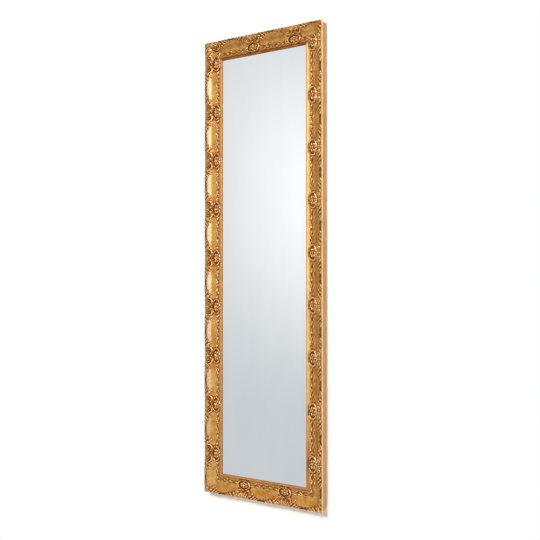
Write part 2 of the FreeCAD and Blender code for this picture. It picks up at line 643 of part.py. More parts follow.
def build():
    """Makes every piece and returns those that are written out."""
    nodes = list(moulding_lengths().values()) + ornaments() + pane_and_backing()
    nodes += [backing_points(), corner_nails()]
    places = {"left": "(HangerInset - FrameWidth / 2)", "right": "(FrameWidth / 2 - HangerInset)"}
    for side, x in places.items():
        nodes += [hanger_strap(f"{side}_hanger_strap", x), hanger_ring(f"{side}_hanger_ring", x)]
    nodes += [hanger_screws(places.values()), wall_bumpers()]
    doc.recompute()
    return nodes


def write_out(nodes):
    """Checks the whole document, then writes each piece to its own file."""
    for item in doc.Objects:
        if {"Invalid", "Error"} & set(item.State):
            raise RuntimeError(f"{item.Label} failed: {item.State}")
    for node in nodes:
        if node.Shape.isNull() or not node.Shape.isValid():
            raise RuntimeError(f"{node.Label} has no sound shape")
    os.makedirs("parts", exist_ok=True)
    for node in nodes:
        node.Shape.exportStep(f"parts/{node.Label}.step")
        print(f"{node.Label}: {len(node.Shape.Solids)} solids, {node.Shape.Volume:.0f} mm3")


write_out(build())
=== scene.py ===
import math

import bmesh
import bpy
import numpy as np
from bpy.props import FloatProperty, FloatVectorProperty, PointerProperty
from mathutils import Matrix, Vector


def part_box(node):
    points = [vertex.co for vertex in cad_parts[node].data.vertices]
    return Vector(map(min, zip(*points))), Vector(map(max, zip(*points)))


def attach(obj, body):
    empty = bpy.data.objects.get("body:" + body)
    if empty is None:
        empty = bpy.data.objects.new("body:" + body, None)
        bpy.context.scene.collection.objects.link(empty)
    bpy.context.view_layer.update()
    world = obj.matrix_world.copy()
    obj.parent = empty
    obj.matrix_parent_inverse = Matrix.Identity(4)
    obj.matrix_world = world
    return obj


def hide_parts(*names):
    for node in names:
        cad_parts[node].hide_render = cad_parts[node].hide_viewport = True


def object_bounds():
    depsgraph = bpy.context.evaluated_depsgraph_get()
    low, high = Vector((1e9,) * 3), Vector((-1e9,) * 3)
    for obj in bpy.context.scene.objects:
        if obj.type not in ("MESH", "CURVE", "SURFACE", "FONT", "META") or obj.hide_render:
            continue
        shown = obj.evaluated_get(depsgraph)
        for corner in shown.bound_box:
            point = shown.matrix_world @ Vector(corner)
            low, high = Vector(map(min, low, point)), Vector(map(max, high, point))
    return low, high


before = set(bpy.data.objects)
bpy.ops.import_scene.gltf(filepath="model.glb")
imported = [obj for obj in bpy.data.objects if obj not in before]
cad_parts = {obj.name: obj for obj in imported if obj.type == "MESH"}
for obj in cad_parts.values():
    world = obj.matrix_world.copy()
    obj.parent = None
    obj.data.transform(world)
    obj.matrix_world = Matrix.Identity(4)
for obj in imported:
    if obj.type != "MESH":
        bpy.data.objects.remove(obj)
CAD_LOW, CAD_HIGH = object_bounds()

bl_info = {
    "name": "Gilded full-length mirror",
    "version": (1, 0, 0),
    "blender": (4, 5, 0),
    "location": "View3D > Sidebar > Mirror",
    "description": "Dresses a full-length mirror: gilded moulding, ornament, pane, backing and hangers",
    "category": "Object",
}

MM = 0.001
LENGTHS = ("left_stile", "right_stile", "top_rail", "bottom_rail")
STILE_LOW, STILE_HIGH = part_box("left_stile")
WALL_GAP = round(-STILE_HIGH.y / MM, 1)


def shade(red, green, blue):
    """A colour written as it shows on screen, 0 to 255, as the linear colour that the shaders take."""
    parts = (value / 255 for value in (red, green, blue))
    return tuple(p / 12.92 if p <= 0.04045 else ((p + 0.055) / 1.055) ** 2.4 for p in parts)


def colour(name, description, *tone):
    """A colour setting."""
    return FloatVectorProperty(
        name=name, description=description, subtype="COLOR", size=3, min=0, max=1, default=shade(*tone)
    )


def length(name, description, millimetres, **limits):
    """A length setting, given in millimetres."""
    return FloatProperty(
        name=name, description=description, default=millimetres * MM, unit="LENGTH", precision=5, **limits
    )


def power(name, description, watts):
    """A lamp's power setting."""
    return FloatProperty(name=name, description=description, default=watts, min=0, unit="POWER")


class MirrorSizes(bpy.types.PropertyGroup):
    """Sizes of the ornament and of the fine finish."""

    pitch: length("Pitch", "Distance between two medallions along a length", 173)
    left_shift: length("Left stile shift", "First medallion from the middle of the left stile", -31)
    right_shift: length("Right stile shift", "First medallion from the middle of the right stile", 42)
    top_shift: length("Top rail shift", "First medallion from the middle of the top rail", 42)
    bottom_shift: length("Bottom rail shift", "First medallion from the middle of the bottom rail", -81)
    station: length("Station", "Spacing of the moulding's cross-sections", 3)
    relief_step: length("Relief step", "Spacing of the points of the pressed relief", 0.8)
    relief_rise: FloatProperty(
        name="Relief rise", description="Height of the relief, as a share of the full height", default=1.0,
        min=0.2, max=1.2, subtype="FACTOR",
    )


class MirrorColours(bpy.types.PropertyGroup):
    """Colours of the finishes."""

    gold: colour("Gold", "Gold leaf on the plain hollow and the lip", 200, 136, 48)
    bright_gold: colour("Bright gold", "Gold on ridges that are rubbed bright", 248, 202, 124)
    patina: colour("Patina", "Dark wash left in the hollows", 100, 50, 12)
    bole: colour("Bole", "Red-brown clay under the gold", 192, 112, 44)
    relief_gold: colour("Relief gold", "Coppery gold of the pressed ornament", 214, 142, 58)
    # Rubbed gold together with a painted highlight on the ornament's ridges.
    relief_bright: colour("Relief highlights", "Ridges of the ornament, rubbed bright", 255, 218, 150)
    side_gold: colour("Side gold", "Pale gold on the outer side", 255, 228, 174)
    # Painted highlight: pale gold that stands for the light's reflection on the steep side of the hollow.
    painted_highlight: colour("Burnish", "Pale gold rubbed on the steep side of the hollow", 255, 242, 214)
    band: colour("Back band", "Ochre paint on the back band", 236, 180, 118)
    raw_wood: colour("Raw wood", "Bare wood on the back", 206, 172, 128)
    silver: colour("Silver", "Silvering of the pane", 251, 254, 255)
    hardboard: colour("Hardboard", "Backing board", 150, 110, 72)
    steel: colour("Steel", "Zinc plated steel", 196, 198, 202)
    rubber: colour("Rubber", "Bumpers and setting blocks", 38, 38, 40)
    wall: colour("Wall", "Painted wall behind the mirror", 250, 250, 250)
    floor: colour("Floor", "Plain pale floor", 232, 232, 232)


class MirrorView(bpy.types.PropertyGroup):
    """Camera and light."""

    place: FloatVectorProperty(
        name="Camera", description="Place of the camera", subtype="XYZ", unit="LENGTH", size=3,
        default=(1.836, -2.444, -0.054),
    )
    yaw: FloatProperty(
        name="Yaw", description="Turn of the camera to the left", subtype="ANGLE", default=math.radians(36.69)
    )
    pitch: FloatProperty(
        name="Pitch", description="Tilt of the camera above level", subtype="ANGLE",
        default=math.radians(0.766),
    )
    lens: FloatProperty(name="Lens", description="Focal length in millimetres", default=59.37, min=1)
    key: power("Key", "Power of the key light", 100)
    glint: power("Glint", "Power of the small high light", 24)
    fill: power("Fill", "Power of the fill light", 18)


# The moulding's section, u inwards from the outer edge and v forwards from the back, in millimetres.

MOULDING_WIDTH = round((STILE_HIGH.x - STILE_LOW.x) / MM, 1)
MOULDING_DEPTH = round((STILE_HIGH.y - STILE_LOW.y) / MM, 1)
SIDE_INSET, SIDE_BAND = 5.0, 16.0
CREST_RADIUS = 5.0
RIM_WIDTH, RIM_DROP = 15.0, 2.0
SCOOP_SAG = 4.0
BAND_START, BAND_END = 41.0, 59.0
BAND_BASE, BAND_RISE, QUIRK = 13.0, 1.5, 1.0
LIP_TOP, LIP_HEIGHT = 65.0, 18.0
REBATE_WALL, REBATE_DEPTH = 65.0, 14.2
BACK_MIDDLE = 32.0
RIM_ROOM = 0.7
SECTION_STEP, SECTION_ERROR = 0.2, 0.025
EASE = 0.3
TINY = 1e-9


def reach_along(points):
    """The distance along a polyline at each of its points."""
    return np.concatenate(([0], np.cumsum(np.hypot(*np.diff(points, axis=0).T))))


def radius_of(start, end, sag):
    """The radius of an arc that stands off its chord by the sag."""
    return math.dist(start, end) ** 2 / (8 * sag) + sag / 2


def arc(start, end, radius):
    """Points on an arc between two points, round where the radius is over 0 and hollow where it is under."""
    start, end = np.array(start), np.array(end)
    chord = end - start
    left = np.array((-chord[1], chord[0])) / np.hypot(*chord)
    depth = math.sqrt(radius ** 2 - (chord @ chord) / 4)
    centre = (start + end) / 2 - left * math.copysign(depth, radius)
    first, last = (math.atan2(v, u) for u, v in (start - centre, end - centre))
    turn = (last - first + math.pi) % (2 * math.pi) - math.pi
    count = max(2, int(abs(turn * radius) / SECTION_STEP))
    angles = first + np.linspace(0, turn, count)
    return centre + abs(radius) * np.column_stack((np.cos(angles), np.sin(angles)))


def even_steps(points, step, closed=False):
    """A polyline drawn again with points at even steps."""
    if closed:
        points = np.vstack((points, points[:1]))
    reach = reach_along(points)
    keep = np.concatenate(([True], np.diff(reach) > TINY))
    points, reach = points[keep], reach[keep]
    count = int(round(reach[-1] / step)) + 1
    marks = np.linspace(0, reach[-1], count)
    drawn = np.column_stack([np.interp(marks, reach, points[:, axis]) for axis in (0, 1)])
    return drawn[:-1] if closed else drawn


def soften(values, spread, step, closed=False):
    """A Gaussian average along a polyline."""
    reach = int(math.ceil(3 * spread / step))
    weights = np.exp(-0.5 * (np.arange(-reach, reach + 1) * step / spread) ** 2)
    weights /= weights.sum()
    padded = np.pad(values, ((reach, reach), (0, 0)), mode="wrap" if closed else "edge")
    return np.column_stack([np.convolve(padded[:, axis], weights, mode="valid") for axis in (0, 1)])


def front_outline():
    """From the foot of the outer side over the rim, the scoop, the round and the lip to the sight edge."""
    cove_foot, cove_top = (SIDE_INSET, SIDE_BAND), (0, SIDE_BAND + SIDE_INSET)
    crest_foot, crest = (0, MOULDING_DEPTH - CREST_RADIUS), (CREST_RADIUS, MOULDING_DEPTH)
    rim_end, scoop_end = (RIM_WIDTH, MOULDING_DEPTH - RIM_DROP), (BAND_START, BAND_BASE)
    round_start, round_end = (BAND_START + QUIRK, BAND_BASE), (BAND_END - QUIRK, BAND_BASE)
    rim_radius = math.dist(crest, rim_end) ** 2 / (2 * RIM_DROP)
    return np.vstack((
        [(SIDE_INSET, 0)],
        arc(cove_foot, cove_top, -SIDE_INSET),
        arc(crest_foot, crest, CREST_RADIUS),
        arc(crest, rim_end, rim_radius),
        arc(rim_end, scoop_end, -radius_of(rim_end, scoop_end, SCOOP_SAG)),
        arc(round_start, round_end, radius_of(round_start, round_end, BAND_RISE)),
        [(BAND_END, BAND_BASE), (LIP_TOP, LIP_HEIGHT), (MOULDING_WIDTH, LIP_HEIGHT)],
        [(MOULDING_WIDTH, REBATE_DEPTH)],
    ))


def thinned(points, error):
    """A closed polyline with the points dropped that lie within the error of a straight line."""
    keep = np.zeros(len(points), bool)
    spans = [(0, len(points) - 1)]
    keep[[0, -1]] = True
    while spans:
        first, last = spans.pop()
        if last - first < 2:
            continue
        line = points[last] - points[first]
        offsets = points[first + 1:last] - points[first]
        away = np.abs(line[0] * offsets[:, 1] - line[1] * offsets[:, 0]) / max(np.hypot(*line), TINY)
        worst = int(np.argmax(away))
        if away[worst] > error:
            middle = first + 1 + worst
            keep[middle] = True
            spans += [(first, middle), (middle, last)]
    return points[keep]


def moulding_section():
    """The closed section with its edges eased, starting in the middle of the back."""
    rebate = [(REBATE_WALL, REBATE_DEPTH), (REBATE_WALL, 0)]
    outline = np.vstack(([(BACK_MIDDLE, 0)], front_outline(), rebate))
    outline[:, 0] = np.maximum(outline[:, 0], RIM_ROOM)
    eased = soften(even_steps(outline, SECTION_STEP, True), EASE, SECTION_STEP, True)
    return thinned(eased, SECTION_ERROR)


CARRIER_LOW, CARRIER_END, CARRIER_SPARE = 20.5, 69.0, 4.0
CARRIER_LEAN = 1e-6


class Carrier:
    """A smooth line across the moulding's front that ornament is laid along."""

    def __init__(self, name, spread):
        line = soften(even_steps(front_outline(), SECTION_STEP), spread, SECTION_STEP)
        first = int(np.argmax(line[:, 1] > CARRIER_LOW))
        last = int(np.argmax(line[:, 0] > CARRIER_END))
        ahead = line[last] - line[last - 1]
        spare = line[last] + CARRIER_SPARE * ahead / np.hypot(*ahead)
        self.name = name
        self.points = np.vstack((line[first:last], spare))
        self.reach = reach_along(self.points)
        self.rising = np.maximum.accumulate(self.points[:, 0] + CARRIER_LEAN * self.reach)

    def at(self, u):
        """The distance along the line at an inset from the outer edge, or at an array of insets."""
        return np.interp(u, self.rising, self.reach)

    def curve(self):
        """The line as a curve object, in metres, for the node trees to sample."""
        return polyline(self.name, self.points)


def polyline(name, points, closed=False):
    """A curve object through points given in millimetres."""
    data = bpy.data.curves.new(name, "CURVE")
    data.dimensions = "3D"
    spline = data.splines.new("POLY")
    spline.points.add(len(points) - 1)
    for point, (u, v) in zip(spline.points, points):
        point.co = (u * MM, v * MM, 0, 1)
    spline.use_cyclic_u = closed
    return linked(bpy.data.objects.new(name, data))


def linked(item):
    """Adds an object to the scene."""
    bpy.context.scene.collection.objects.link(item)
    return item


def dropped(*items):
    """Removes helper objects and their data."""
    for item in items:
        data, kind = item.data, item.type
        bpy.data.objects.remove(item)
        (bpy.data.curves if kind == "CURVE" else bpy.data.meshes).remove(data)


# Pressed relief: a height field on which leaves, strokes and bosses are laid one over another.

BLOCK = 3
SINK, FOOT = 1.6, 2.6
SIDE_SLOPE, SIDE_REACH = 2.2, 0.5
DITCH, DITCH_WIDTH = 1.9, 2.2

# A leaf: how full its outline and its lobes are, where it is thickest, and the depth of its creases and rib.

LEAF_FULLNESS, LEAF_LEAN, LEAF_EDGE, LEAF_NARROWEST = 0.8, 0.8, 0.3, 0.001
LOBE_FULLNESS, LOBE_SWEEP = 0.6, 1.1
CREASE_DEPTH, CREASE_SHARPNESS = 0.5, 3
RIB_DEPTH, RIB_WIDTH = 0.3, 0.55

# How the hollows that hold the dark wash are found, and how far the wash runs out round the ornament. The
# wash is patina together with painted shade, and the ridges carry a painted highlight.

HOLLOW_LEVEL, HOLLOW_FLOOR = 0.5, -0.5
FINE_SPREAD, FINE_SHARE = 1.7, 0.46
BROAD_SPREAD, BROAD_SHARE = 4.0, 0.22
COVER_SPREAD, COVER_GAIN = 3.0, 1.7

CURVE_POINTS, COIL_POINTS = 33, 40


def bend(*points):
    """Points along a Bezier curve through the first and the last of its control points."""
    q = np.linspace(0, 1, CURVE_POINTS)[:, None]
    layer = [np.tile(np.array(p, float), (CURVE_POINTS, 1)) for p in points]
    while len(layer) > 1:
        layer = [a * (1 - q) + b * q for a, b in zip(layer, layer[1:])]
    return layer[0]


def coil(centre, radius, turns, start, way, inner=0.15):
    """Points along a spiral from its outer end inwards. The angle is in degrees."""
    q = np.linspace(0, 1, COIL_POINTS)
    angle = math.radians(start) + way * 2 * math.pi * turns * q
    reach = radius * (1 - (1 - inner) * q)
    return np.column_stack((centre[0] + reach * np.cos(angle), centre[1] + reach * np.sin(angle)))


class Relief:
    """Heights over a patch of the moulding, s along it and t across it, in millimetres."""

    def __init__(self, step, half_length, low, high):
        rows = BLOCK * math.ceil(2 * half_length / step / BLOCK)
        columns = BLOCK * math.ceil((high - low) / step / BLOCK)
        self.step = step
        self.s, self.t = np.meshgrid(
            (np.arange(rows + 1) - rows / 2) * step, low + np.arange(columns + 1) * step, indexing="ij"
        )
        self.height = np.full(self.s.shape, -SINK)
        self.stain_and_shade = np.zeros(self.s.shape)

    def lay(self, inside, top, stain_and_shade=0.0):
        """Lays a form over what is there, by the distance in from its edge, its height and its extra dark
        wash, patina together with painted shade.
        """
        sides = (inside + SIDE_REACH) * SIDE_SLOPE - SINK / 2
        ditch = np.where(inside < 0, DITCH * np.clip(1 + inside / DITCH_WIDTH, 0, 1), 0)
        under = np.maximum(self.height - ditch, -SINK)
        form = np.minimum(top, sides)
        self.stain_and_shade = np.where(form > under, stain_and_shade, self.stain_and_shade)
        self.height = np.maximum(under, form)

    def along(self, path):
        """Share along a path, signed distance from it, and its length."""
        ahead = np.gradient(path, axis=0)
        ahead /= np.maximum(np.hypot(*ahead.T), TINY)[:, None]
        gaps = (self.s[..., None] - path[:, 0]) ** 2 + (self.t[..., None] - path[:, 1]) ** 2
        near = np.argmin(gaps, axis=-1)
        ds, dt = self.s - path[near, 0], self.t - path[near, 1]
        run = reach_along(path)
        forward = ahead[near, 0] * ds + ahead[near, 1] * dt
        share = np.clip((run[near] + forward) / run[-1], -1, 2)
        side = np.sign(ahead[near, 0] * dt - ahead[near, 1] * ds)
        return share, side * np.sqrt(np.take_along_axis(gaps, near[..., None], -1)[..., 0]), run[-1]

    def leaf(self, path, width, rise, lobes=0, lift=0.0, root=0.6, notch=0.42, swell=0.5, stain_and_shade=0.0):
        """A leaf along a path, with a grooved rib and lobes that sweep towards its tip."""
        share, off, run = self.along(path)
        q = np.clip(share, 0, 1)
        half = width / 2 * np.sin(np.pi * q ** root) ** LEAF_FULLNESS
        lobe = np.ones_like(q)
        if lobes:
            lobe = np.abs(np.sin(np.pi * lobes * (share - LOBE_SWEEP * np.abs(off) / run)))
            half = half * (1 - notch + notch * lobe ** LOBE_FULLNESS)
        half = np.maximum(half, LEAF_NARROWEST)
        spread = np.clip(np.abs(off) / half, 0, 1)
        dome = np.sqrt(1 - spread ** 2)
        crease = (1 - lobe) ** CREASE_SHARPNESS * spread
        rib = np.exp(-(off / RIB_WIDTH) ** 2)
        shape = LEAF_EDGE + (1 - LEAF_EDGE) * dome - CREASE_DEPTH * crease - RIB_DEPTH * rib
        top = lift + rise * shape * (1 - swell + swell * np.sin(np.pi * q ** LEAF_LEAN))
        self.lay(half - np.abs(off), top, stain_and_shade)

    def stroke(self, path, radius, rise, lift=0.0, taper=0.0):
        """A round ridge along a path, thinner at its ends by the taper."""
        share, off, _ = self.along(path)
        girth = radius * (1 - taper * np.abs(2 * np.clip(share, 0, 1) - 1) ** 2)
        dome = np.sqrt(np.clip(1 - (off / girth) ** 2, 0, 1))
        self.lay(girth - np.abs(off), lift + rise * dome * girth / radius)

    def boss(self, centre, radius, rise, lift=0.0, stretch=1.0, flat=False):
        """A round or oval button, domed or flat."""
        reach = np.hypot((self.s - centre[0]) / stretch, self.t - centre[1])
        dome = 1.0 if flat else np.sqrt(np.clip(1 - (reach / radius) ** 2, 0, 1))
        self.lay(radius - reach, lift + rise * dome)

    def hollows(self):
        """How deep each point lies below what is round it, from 0 on a ridge to 1 in a crevice, plus the
        extra dark wash. It sets the wash of patina together with painted shade.
        """
        top = np.maximum(self.height, HOLLOW_FLOOR)
        fine, broad = (blurred(top, spread / self.step) - top for spread in (FINE_SPREAD, BROAD_SPREAD))
        return np.clip(HOLLOW_LEVEL + FINE_SHARE * fine + BROAD_SHARE * broad + self.stain_and_shade, 0, 1)

    def cover(self):
        """1 where the relief stands above the ground, fading out round it."""
        return np.clip(blurred((self.height > 0).astype(float), COVER_SPREAD / self.step) * COVER_GAIN, 0, 1)

    def standing(self):
        """Which blocks of cells hold relief, in a border of empty ones. No two meet only at a corner."""
        tall = np.maximum.reduce([
            self.height[:-1, :-1], self.height[1:, :-1], self.height[:-1, 1:], self.height[1:, 1:]
        ]) > -SINK / 2
        rows, columns = (count // BLOCK for count in tall.shape)
        on = np.zeros((rows + 2, columns + 2), bool)
        on[1:-1, 1:-1] = tall.reshape(rows, BLOCK, columns, BLOCK).any(axis=(1, 3))
        while True:
            a, b, c, d = on[:-1, :-1], on[1:, 1:], on[1:, :-1], on[:-1, 1:]
            lone = (a & b & ~c & ~d) | (~a & ~b & c & d)
            if not lone.any():
                return on
            for i, j in np.argwhere(lone):
                on[i:i + 2, j:j + 2] = True

    def unit(self, name, rise):
        """One closed solid as an object: x across, y outwards and z along, in metres."""
        on = self.standing()
        blocks = np.argwhere(on[1:-1, 1:-1])
        if on.sum() != len(blocks):
            raise RuntimeError(f"{name}: the relief reaches the edge of its patch")
        places, hollow, numbers = [], [], {}
        depths = self.hollows()

        def corner(i, j, foot):
            key = (i, j, foot)
            if key not in numbers:
                numbers[key] = len(places)
                high = -FOOT if foot else self.height[i, j] * rise
                places.append((self.t[i, j] * MM, high * MM, self.s[i, j] * MM))
                hollow.append(HOLLOW_LEVEL if foot else depths[i, j])
            return numbers[key]

        faces = []
        for i, j in blocks * BLOCK:
            end_i, end_j = i + BLOCK, j + BLOCK
            for a in range(i, end_i):
                for b in range(j, end_j):
                    cell = ((a, b), (a + 1, b), (a + 1, b + 1), (a, b + 1))
                    faces.append([corner(*place, False) for place in cell])
            under = ((i, j), (i, end_j), (end_i, end_j), (end_i, j))
            faces.append([corner(*place, True) for place in under])
            row, column = i // BLOCK + 1, j // BLOCK + 1
            sides = (
                (on[row - 1, column], [(i, j + k) for k in range(BLOCK + 1)]),
                (on[row + 1, column], [(end_i, end_j - k) for k in range(BLOCK + 1)]),
                (on[row, column - 1], [(end_i - k, j) for k in range(BLOCK + 1)]),
                (on[row, column + 1], [(i + k, end_j) for k in range(BLOCK + 1)]),
            )
            for joined, edge in sides:
                if not joined:
                    top = [corner(*place, False) for place in edge]
                    faces.append(top + [corner(*edge[-1], True), corner(*edge[0], True)])
        mesh = bpy.data.meshes.new(name)
        mesh.from_pydata(places, [], faces)
        add_values(mesh, "hollow", hollow)
        return linked(bpy.data.objects.new(name, mesh))


def blurred(field, spread):
    """A Gaussian average of a field, its spread in cells."""
    reach = int(math.ceil(3 * spread))
    weights = np.exp(-0.5 * (np.arange(-reach, reach + 1) / spread) ** 2)
    weights /= weights.sum()
    for axis in (0, 1):
        padded = np.pad(field, [(reach, reach) if a == axis else (0, 0) for a in (0, 1)], mode="edge")
        parts = [np.take(padded, range(k, k + field.shape[axis]), axis) * w for k, w in enumerate(weights)]
        field = sum(parts)
    return field


MEDALLION_INSET, MEDALLION_END, MEDALLION_REACH = 43.5, 68.5, 42
ROSETTE_LONG, ROSETTE_WIDE = 25.2, 16.6
CRESCENT_START, CRESCENT_END, CRESCENT_POINTS = -80, 84, 48
OUTER_LEAF_ANGLES, OUTER_LEAF_SPAN = (-26, 0, 26), (0.95, 1.30)
CURL_PLACE, CURL_OFFSET = 5.4, 15.0
PETALS, PETAL_TURN, PETAL_SPAN = 6, 30, (0.12, 0.72)
SHELL_ROOT, SHELL_TIP = 26.0, 2.2
RAY_ANGLE, RAY_FALL = 17, 2.0
SCROLL_PLACE, SCROLL_INSET = 14.5, 14


def lay_rosette(relief, middle):
    """Six petals and a button in two crescents, with three leaves behind and a coil at the end of each."""

    def round_at(angle, share=1.0):
        turn = math.radians(angle)
        return (ROSETTE_LONG * share * math.cos(turn), middle + ROSETTE_WIDE * share * math.sin(turn))

    stretch = ROSETTE_LONG / ROSETTE_WIDE
    relief.boss((0, middle), ROSETTE_WIDE, rise=0.5, lift=0.3, stretch=stretch, flat=True)
    for side in (-1, 1):
        for angle in OUTER_LEAF_ANGLES:
            ends = (round_at(angle, share) for share in OUTER_LEAF_SPAN)
            relief.leaf(bend(*((side * s, t) for s, t in ends)), width=9.4, rise=2.4, lift=0.2)
        angles = np.linspace(CRESCENT_START, CRESCENT_END, CRESCENT_POINTS)
        crescent = np.array([round_at(angle) for angle in angles]) * (side, 1)
        relief.stroke(crescent, radius=3.7, rise=5.0, lift=1.2, taper=0.35)
        place, start = (side * CURL_PLACE, middle + CURL_OFFSET), 0 if side > 0 else 180
        curl = coil(place, radius=4.6, turns=1.1, start=start, way=-side)
        relief.stroke(curl, radius=1.9, rise=3.2, lift=2.6, taper=0.2)
    for k in range(PETALS):
        angle = PETAL_TURN + 360 / PETALS * k
        petal = bend(*(round_at(angle, share) for share in PETAL_SPAN))
        relief.leaf(petal, width=10.6, rise=3.6, lift=0.9, root=0.95)
    relief.boss((0, middle), 4.6, rise=3.8, lift=3.2, stretch=1.6)


def lay_shell(relief, at):
    """A shell of three rays on the rim, between two scrolls with a leaf under each."""
    root = at(SHELL_ROOT)
    for side in (-1, 1):
        points = ((10, root - 2), (20, root + 2), (29, root), (31, at(13)))
        cradle = bend(*((side * s, t) for s, t in points))
        relief.leaf(cradle, width=9.6, rise=3.0, lobes=3, lift=0.4)
        eye = (side * SCROLL_PLACE, at(SCROLL_INSET))
        scroll = coil(eye, radius=8.6, turns=1.3, start=90, way=-side, inner=0.2)
        relief.stroke(scroll, radius=2.7, rise=4.2, lift=0.9, taper=0.3)
        relief.boss(eye, 2.9, rise=4.4, lift=1.2)
    for k in (1, -1, 0):
        turn = math.radians(RAY_ANGLE * k)
        reach = root - at(SHELL_TIP) - RAY_FALL * abs(k)
        tip = (reach * math.sin(turn), root - reach * math.cos(turn))
        relief.leaf(bend((0, root - 4), tip), width=7.4, rise=3.6, lift=1.5 - 0.5 * abs(k), root=1.4)
    relief.boss((0, root - 2), 4.0, rise=4.0, lift=1.8)


def medallion_relief(carrier, step):
    """An oval rosette in two crescents, with a shell between two scrolls over it on the rim."""
    relief = Relief(step, MEDALLION_REACH, 0.0, carrier.at(MEDALLION_END))
    lay_rosette(relief, carrier.at(MEDALLION_INSET))
    lay_shell(relief, carrier.at)
    return relief


# Leaf sprays: each rim tip's place along the rim and width, and each leaf's points, along and inwards.

# The rim's leaf tips and the sprays get an extra dark wash: patina together with painted shade on the rim's
# leaves.
RIM_STAIN_AND_SHADE, SPRAY_STAIN_AND_SHADE = 0.85, 0.26
SPRAY_END, SPRAY_OVERLAP = 34, 6
RIM_TIPS = ((80, 6.4), (69, 7.6), (57, 6.8), (46, 7.6), (35, 7.0), (25, 6.0))
TIP_PATH, TIP_WIDTH, TIP_SHARE = ((-3, 8), (3, 4.2), (9, 2.3)), 6.8, 0.9
SPRAY_LEAVES = (
    (((54, 5), (64, 3), (72, 6), (78, 11)), dict(width=8.4, rise=2.2, lobes=3, lift=0.4)),
    (((50, 3), (57, 6), (67, 13)), dict(width=5.2, rise=2.8, lift=0.3, root=0.8)),
    (((37, 3), (47, 6), (60, 18)), dict(width=7.2, rise=3.0, lobes=3, lift=0.4, root=0.8, notch=0.5)),
    (
        ((21, 4), (29, 6), (38, 13), (49, 27)),
        dict(width=11.5, rise=3.2, lobes=4, lift=0.5, root=0.8, notch=0.5),
    ),
)


def spray_relief(carrier, step, half_pitch):
    """A flame of leaves along the rim on both sides of a medallion, and low leaf tips on the rim's edge."""
    at = carrier.at
    relief = Relief(step, half_pitch + SPRAY_OVERLAP, 0.0, at(SPRAY_END))
    for side in (-1, 1):
        for s, width in RIM_TIPS:
            *foot, (end, edge) = ((side * (s + along), at(u)) for along, u in TIP_PATH)
            tip = (end, edge - (width - TIP_WIDTH) * TIP_SHARE)
            relief.leaf(bend(*foot, tip), width, rise=2.0, lift=0.3, stain_and_shade=RIM_STAIN_AND_SHADE)
        for points, shape in SPRAY_LEAVES:
            relief.leaf(bend(*((side * s, at(u)) for s, u in points)), stain_and_shade=SPRAY_STAIN_AND_SHADE, **shape)
    return relief


# The garland: each leaf's root, bend and tip, along and off the middle of the round, and its width.

GARLAND_LEAVES = (
    ((-60, 3), (-52, 5), (-42, -5.5), 6.4),
    ((-54, -1), (-50, -6), (-42, -6.8), 4.2),
    ((-44, 1), (-38, 6), (-28, 6.2), 5.2),
    ((-39, -1), (-31, -3), (-21, -6.8), 5.4),
    ((-30, 2), (-22, 4), (-11, -4.0), 6.4),
    ((-19, 4), (-12, 6.8), (-3, 6), 4.4),
    ((-14, -3), (-8, -6.6), (2, -6.4), 4.6),
    ((-7, 0), (0, 3.4), (10, -2), 6.2),
    ((4, 4), (10, 7), (20, 5.4), 4.8),
    ((9, -2), (16, -6.4), (26, -6.2), 5.2),
    ((19, 1), (27, 4.4), (37, -4.4), 6.4),
    ((32, 4), (38, 7), (47, 5.8), 4.6),
    ((35, -4), (41, -7), (50, -5.6), 4.8),
    ((45, 1), (51, 2.8), (61, -4.6), 6.4),
)
GARLAND_REACH, GARLAND_START, GARLAND_END = 66, 34, 62
GARLAND_INSET, GARLAND_SPREAD, GARLAND_FULLNESS = 48.0, 1.18, 1.08
GARLAND_RISE, GARLAND_RISE_SHARE = 1.2, 0.32
STEM_REACH, STEM_SWAY, STEM_WAVE, STEM_POINTS = 58, 2.2, 31, 140


def garland_relief(carrier, step):
    """A running leaf scroll along the round, its leaves uneven in size and lie."""
    relief = Relief(step, GARLAND_REACH, carrier.at(GARLAND_START), carrier.at(GARLAND_END))
    middle = carrier.at(GARLAND_INSET)
    for *points, width in GARLAND_LEAVES:
        path = bend(*((s, middle + off * GARLAND_SPREAD) for s, off in points))
        rise = GARLAND_RISE + width * GARLAND_RISE_SHARE
        relief.leaf(path, width * GARLAND_FULLNESS, rise, lift=0.4)
    along = np.linspace(-STEM_REACH, STEM_REACH, STEM_POINTS)
    stem = np.column_stack((along, middle + STEM_SWAY * np.sin(2 * math.pi * along / STEM_WAVE)))
    relief.stroke(stem, radius=1.2, rise=2.2, lift=0.9, taper=0.35)
    return relief


# Node trees.


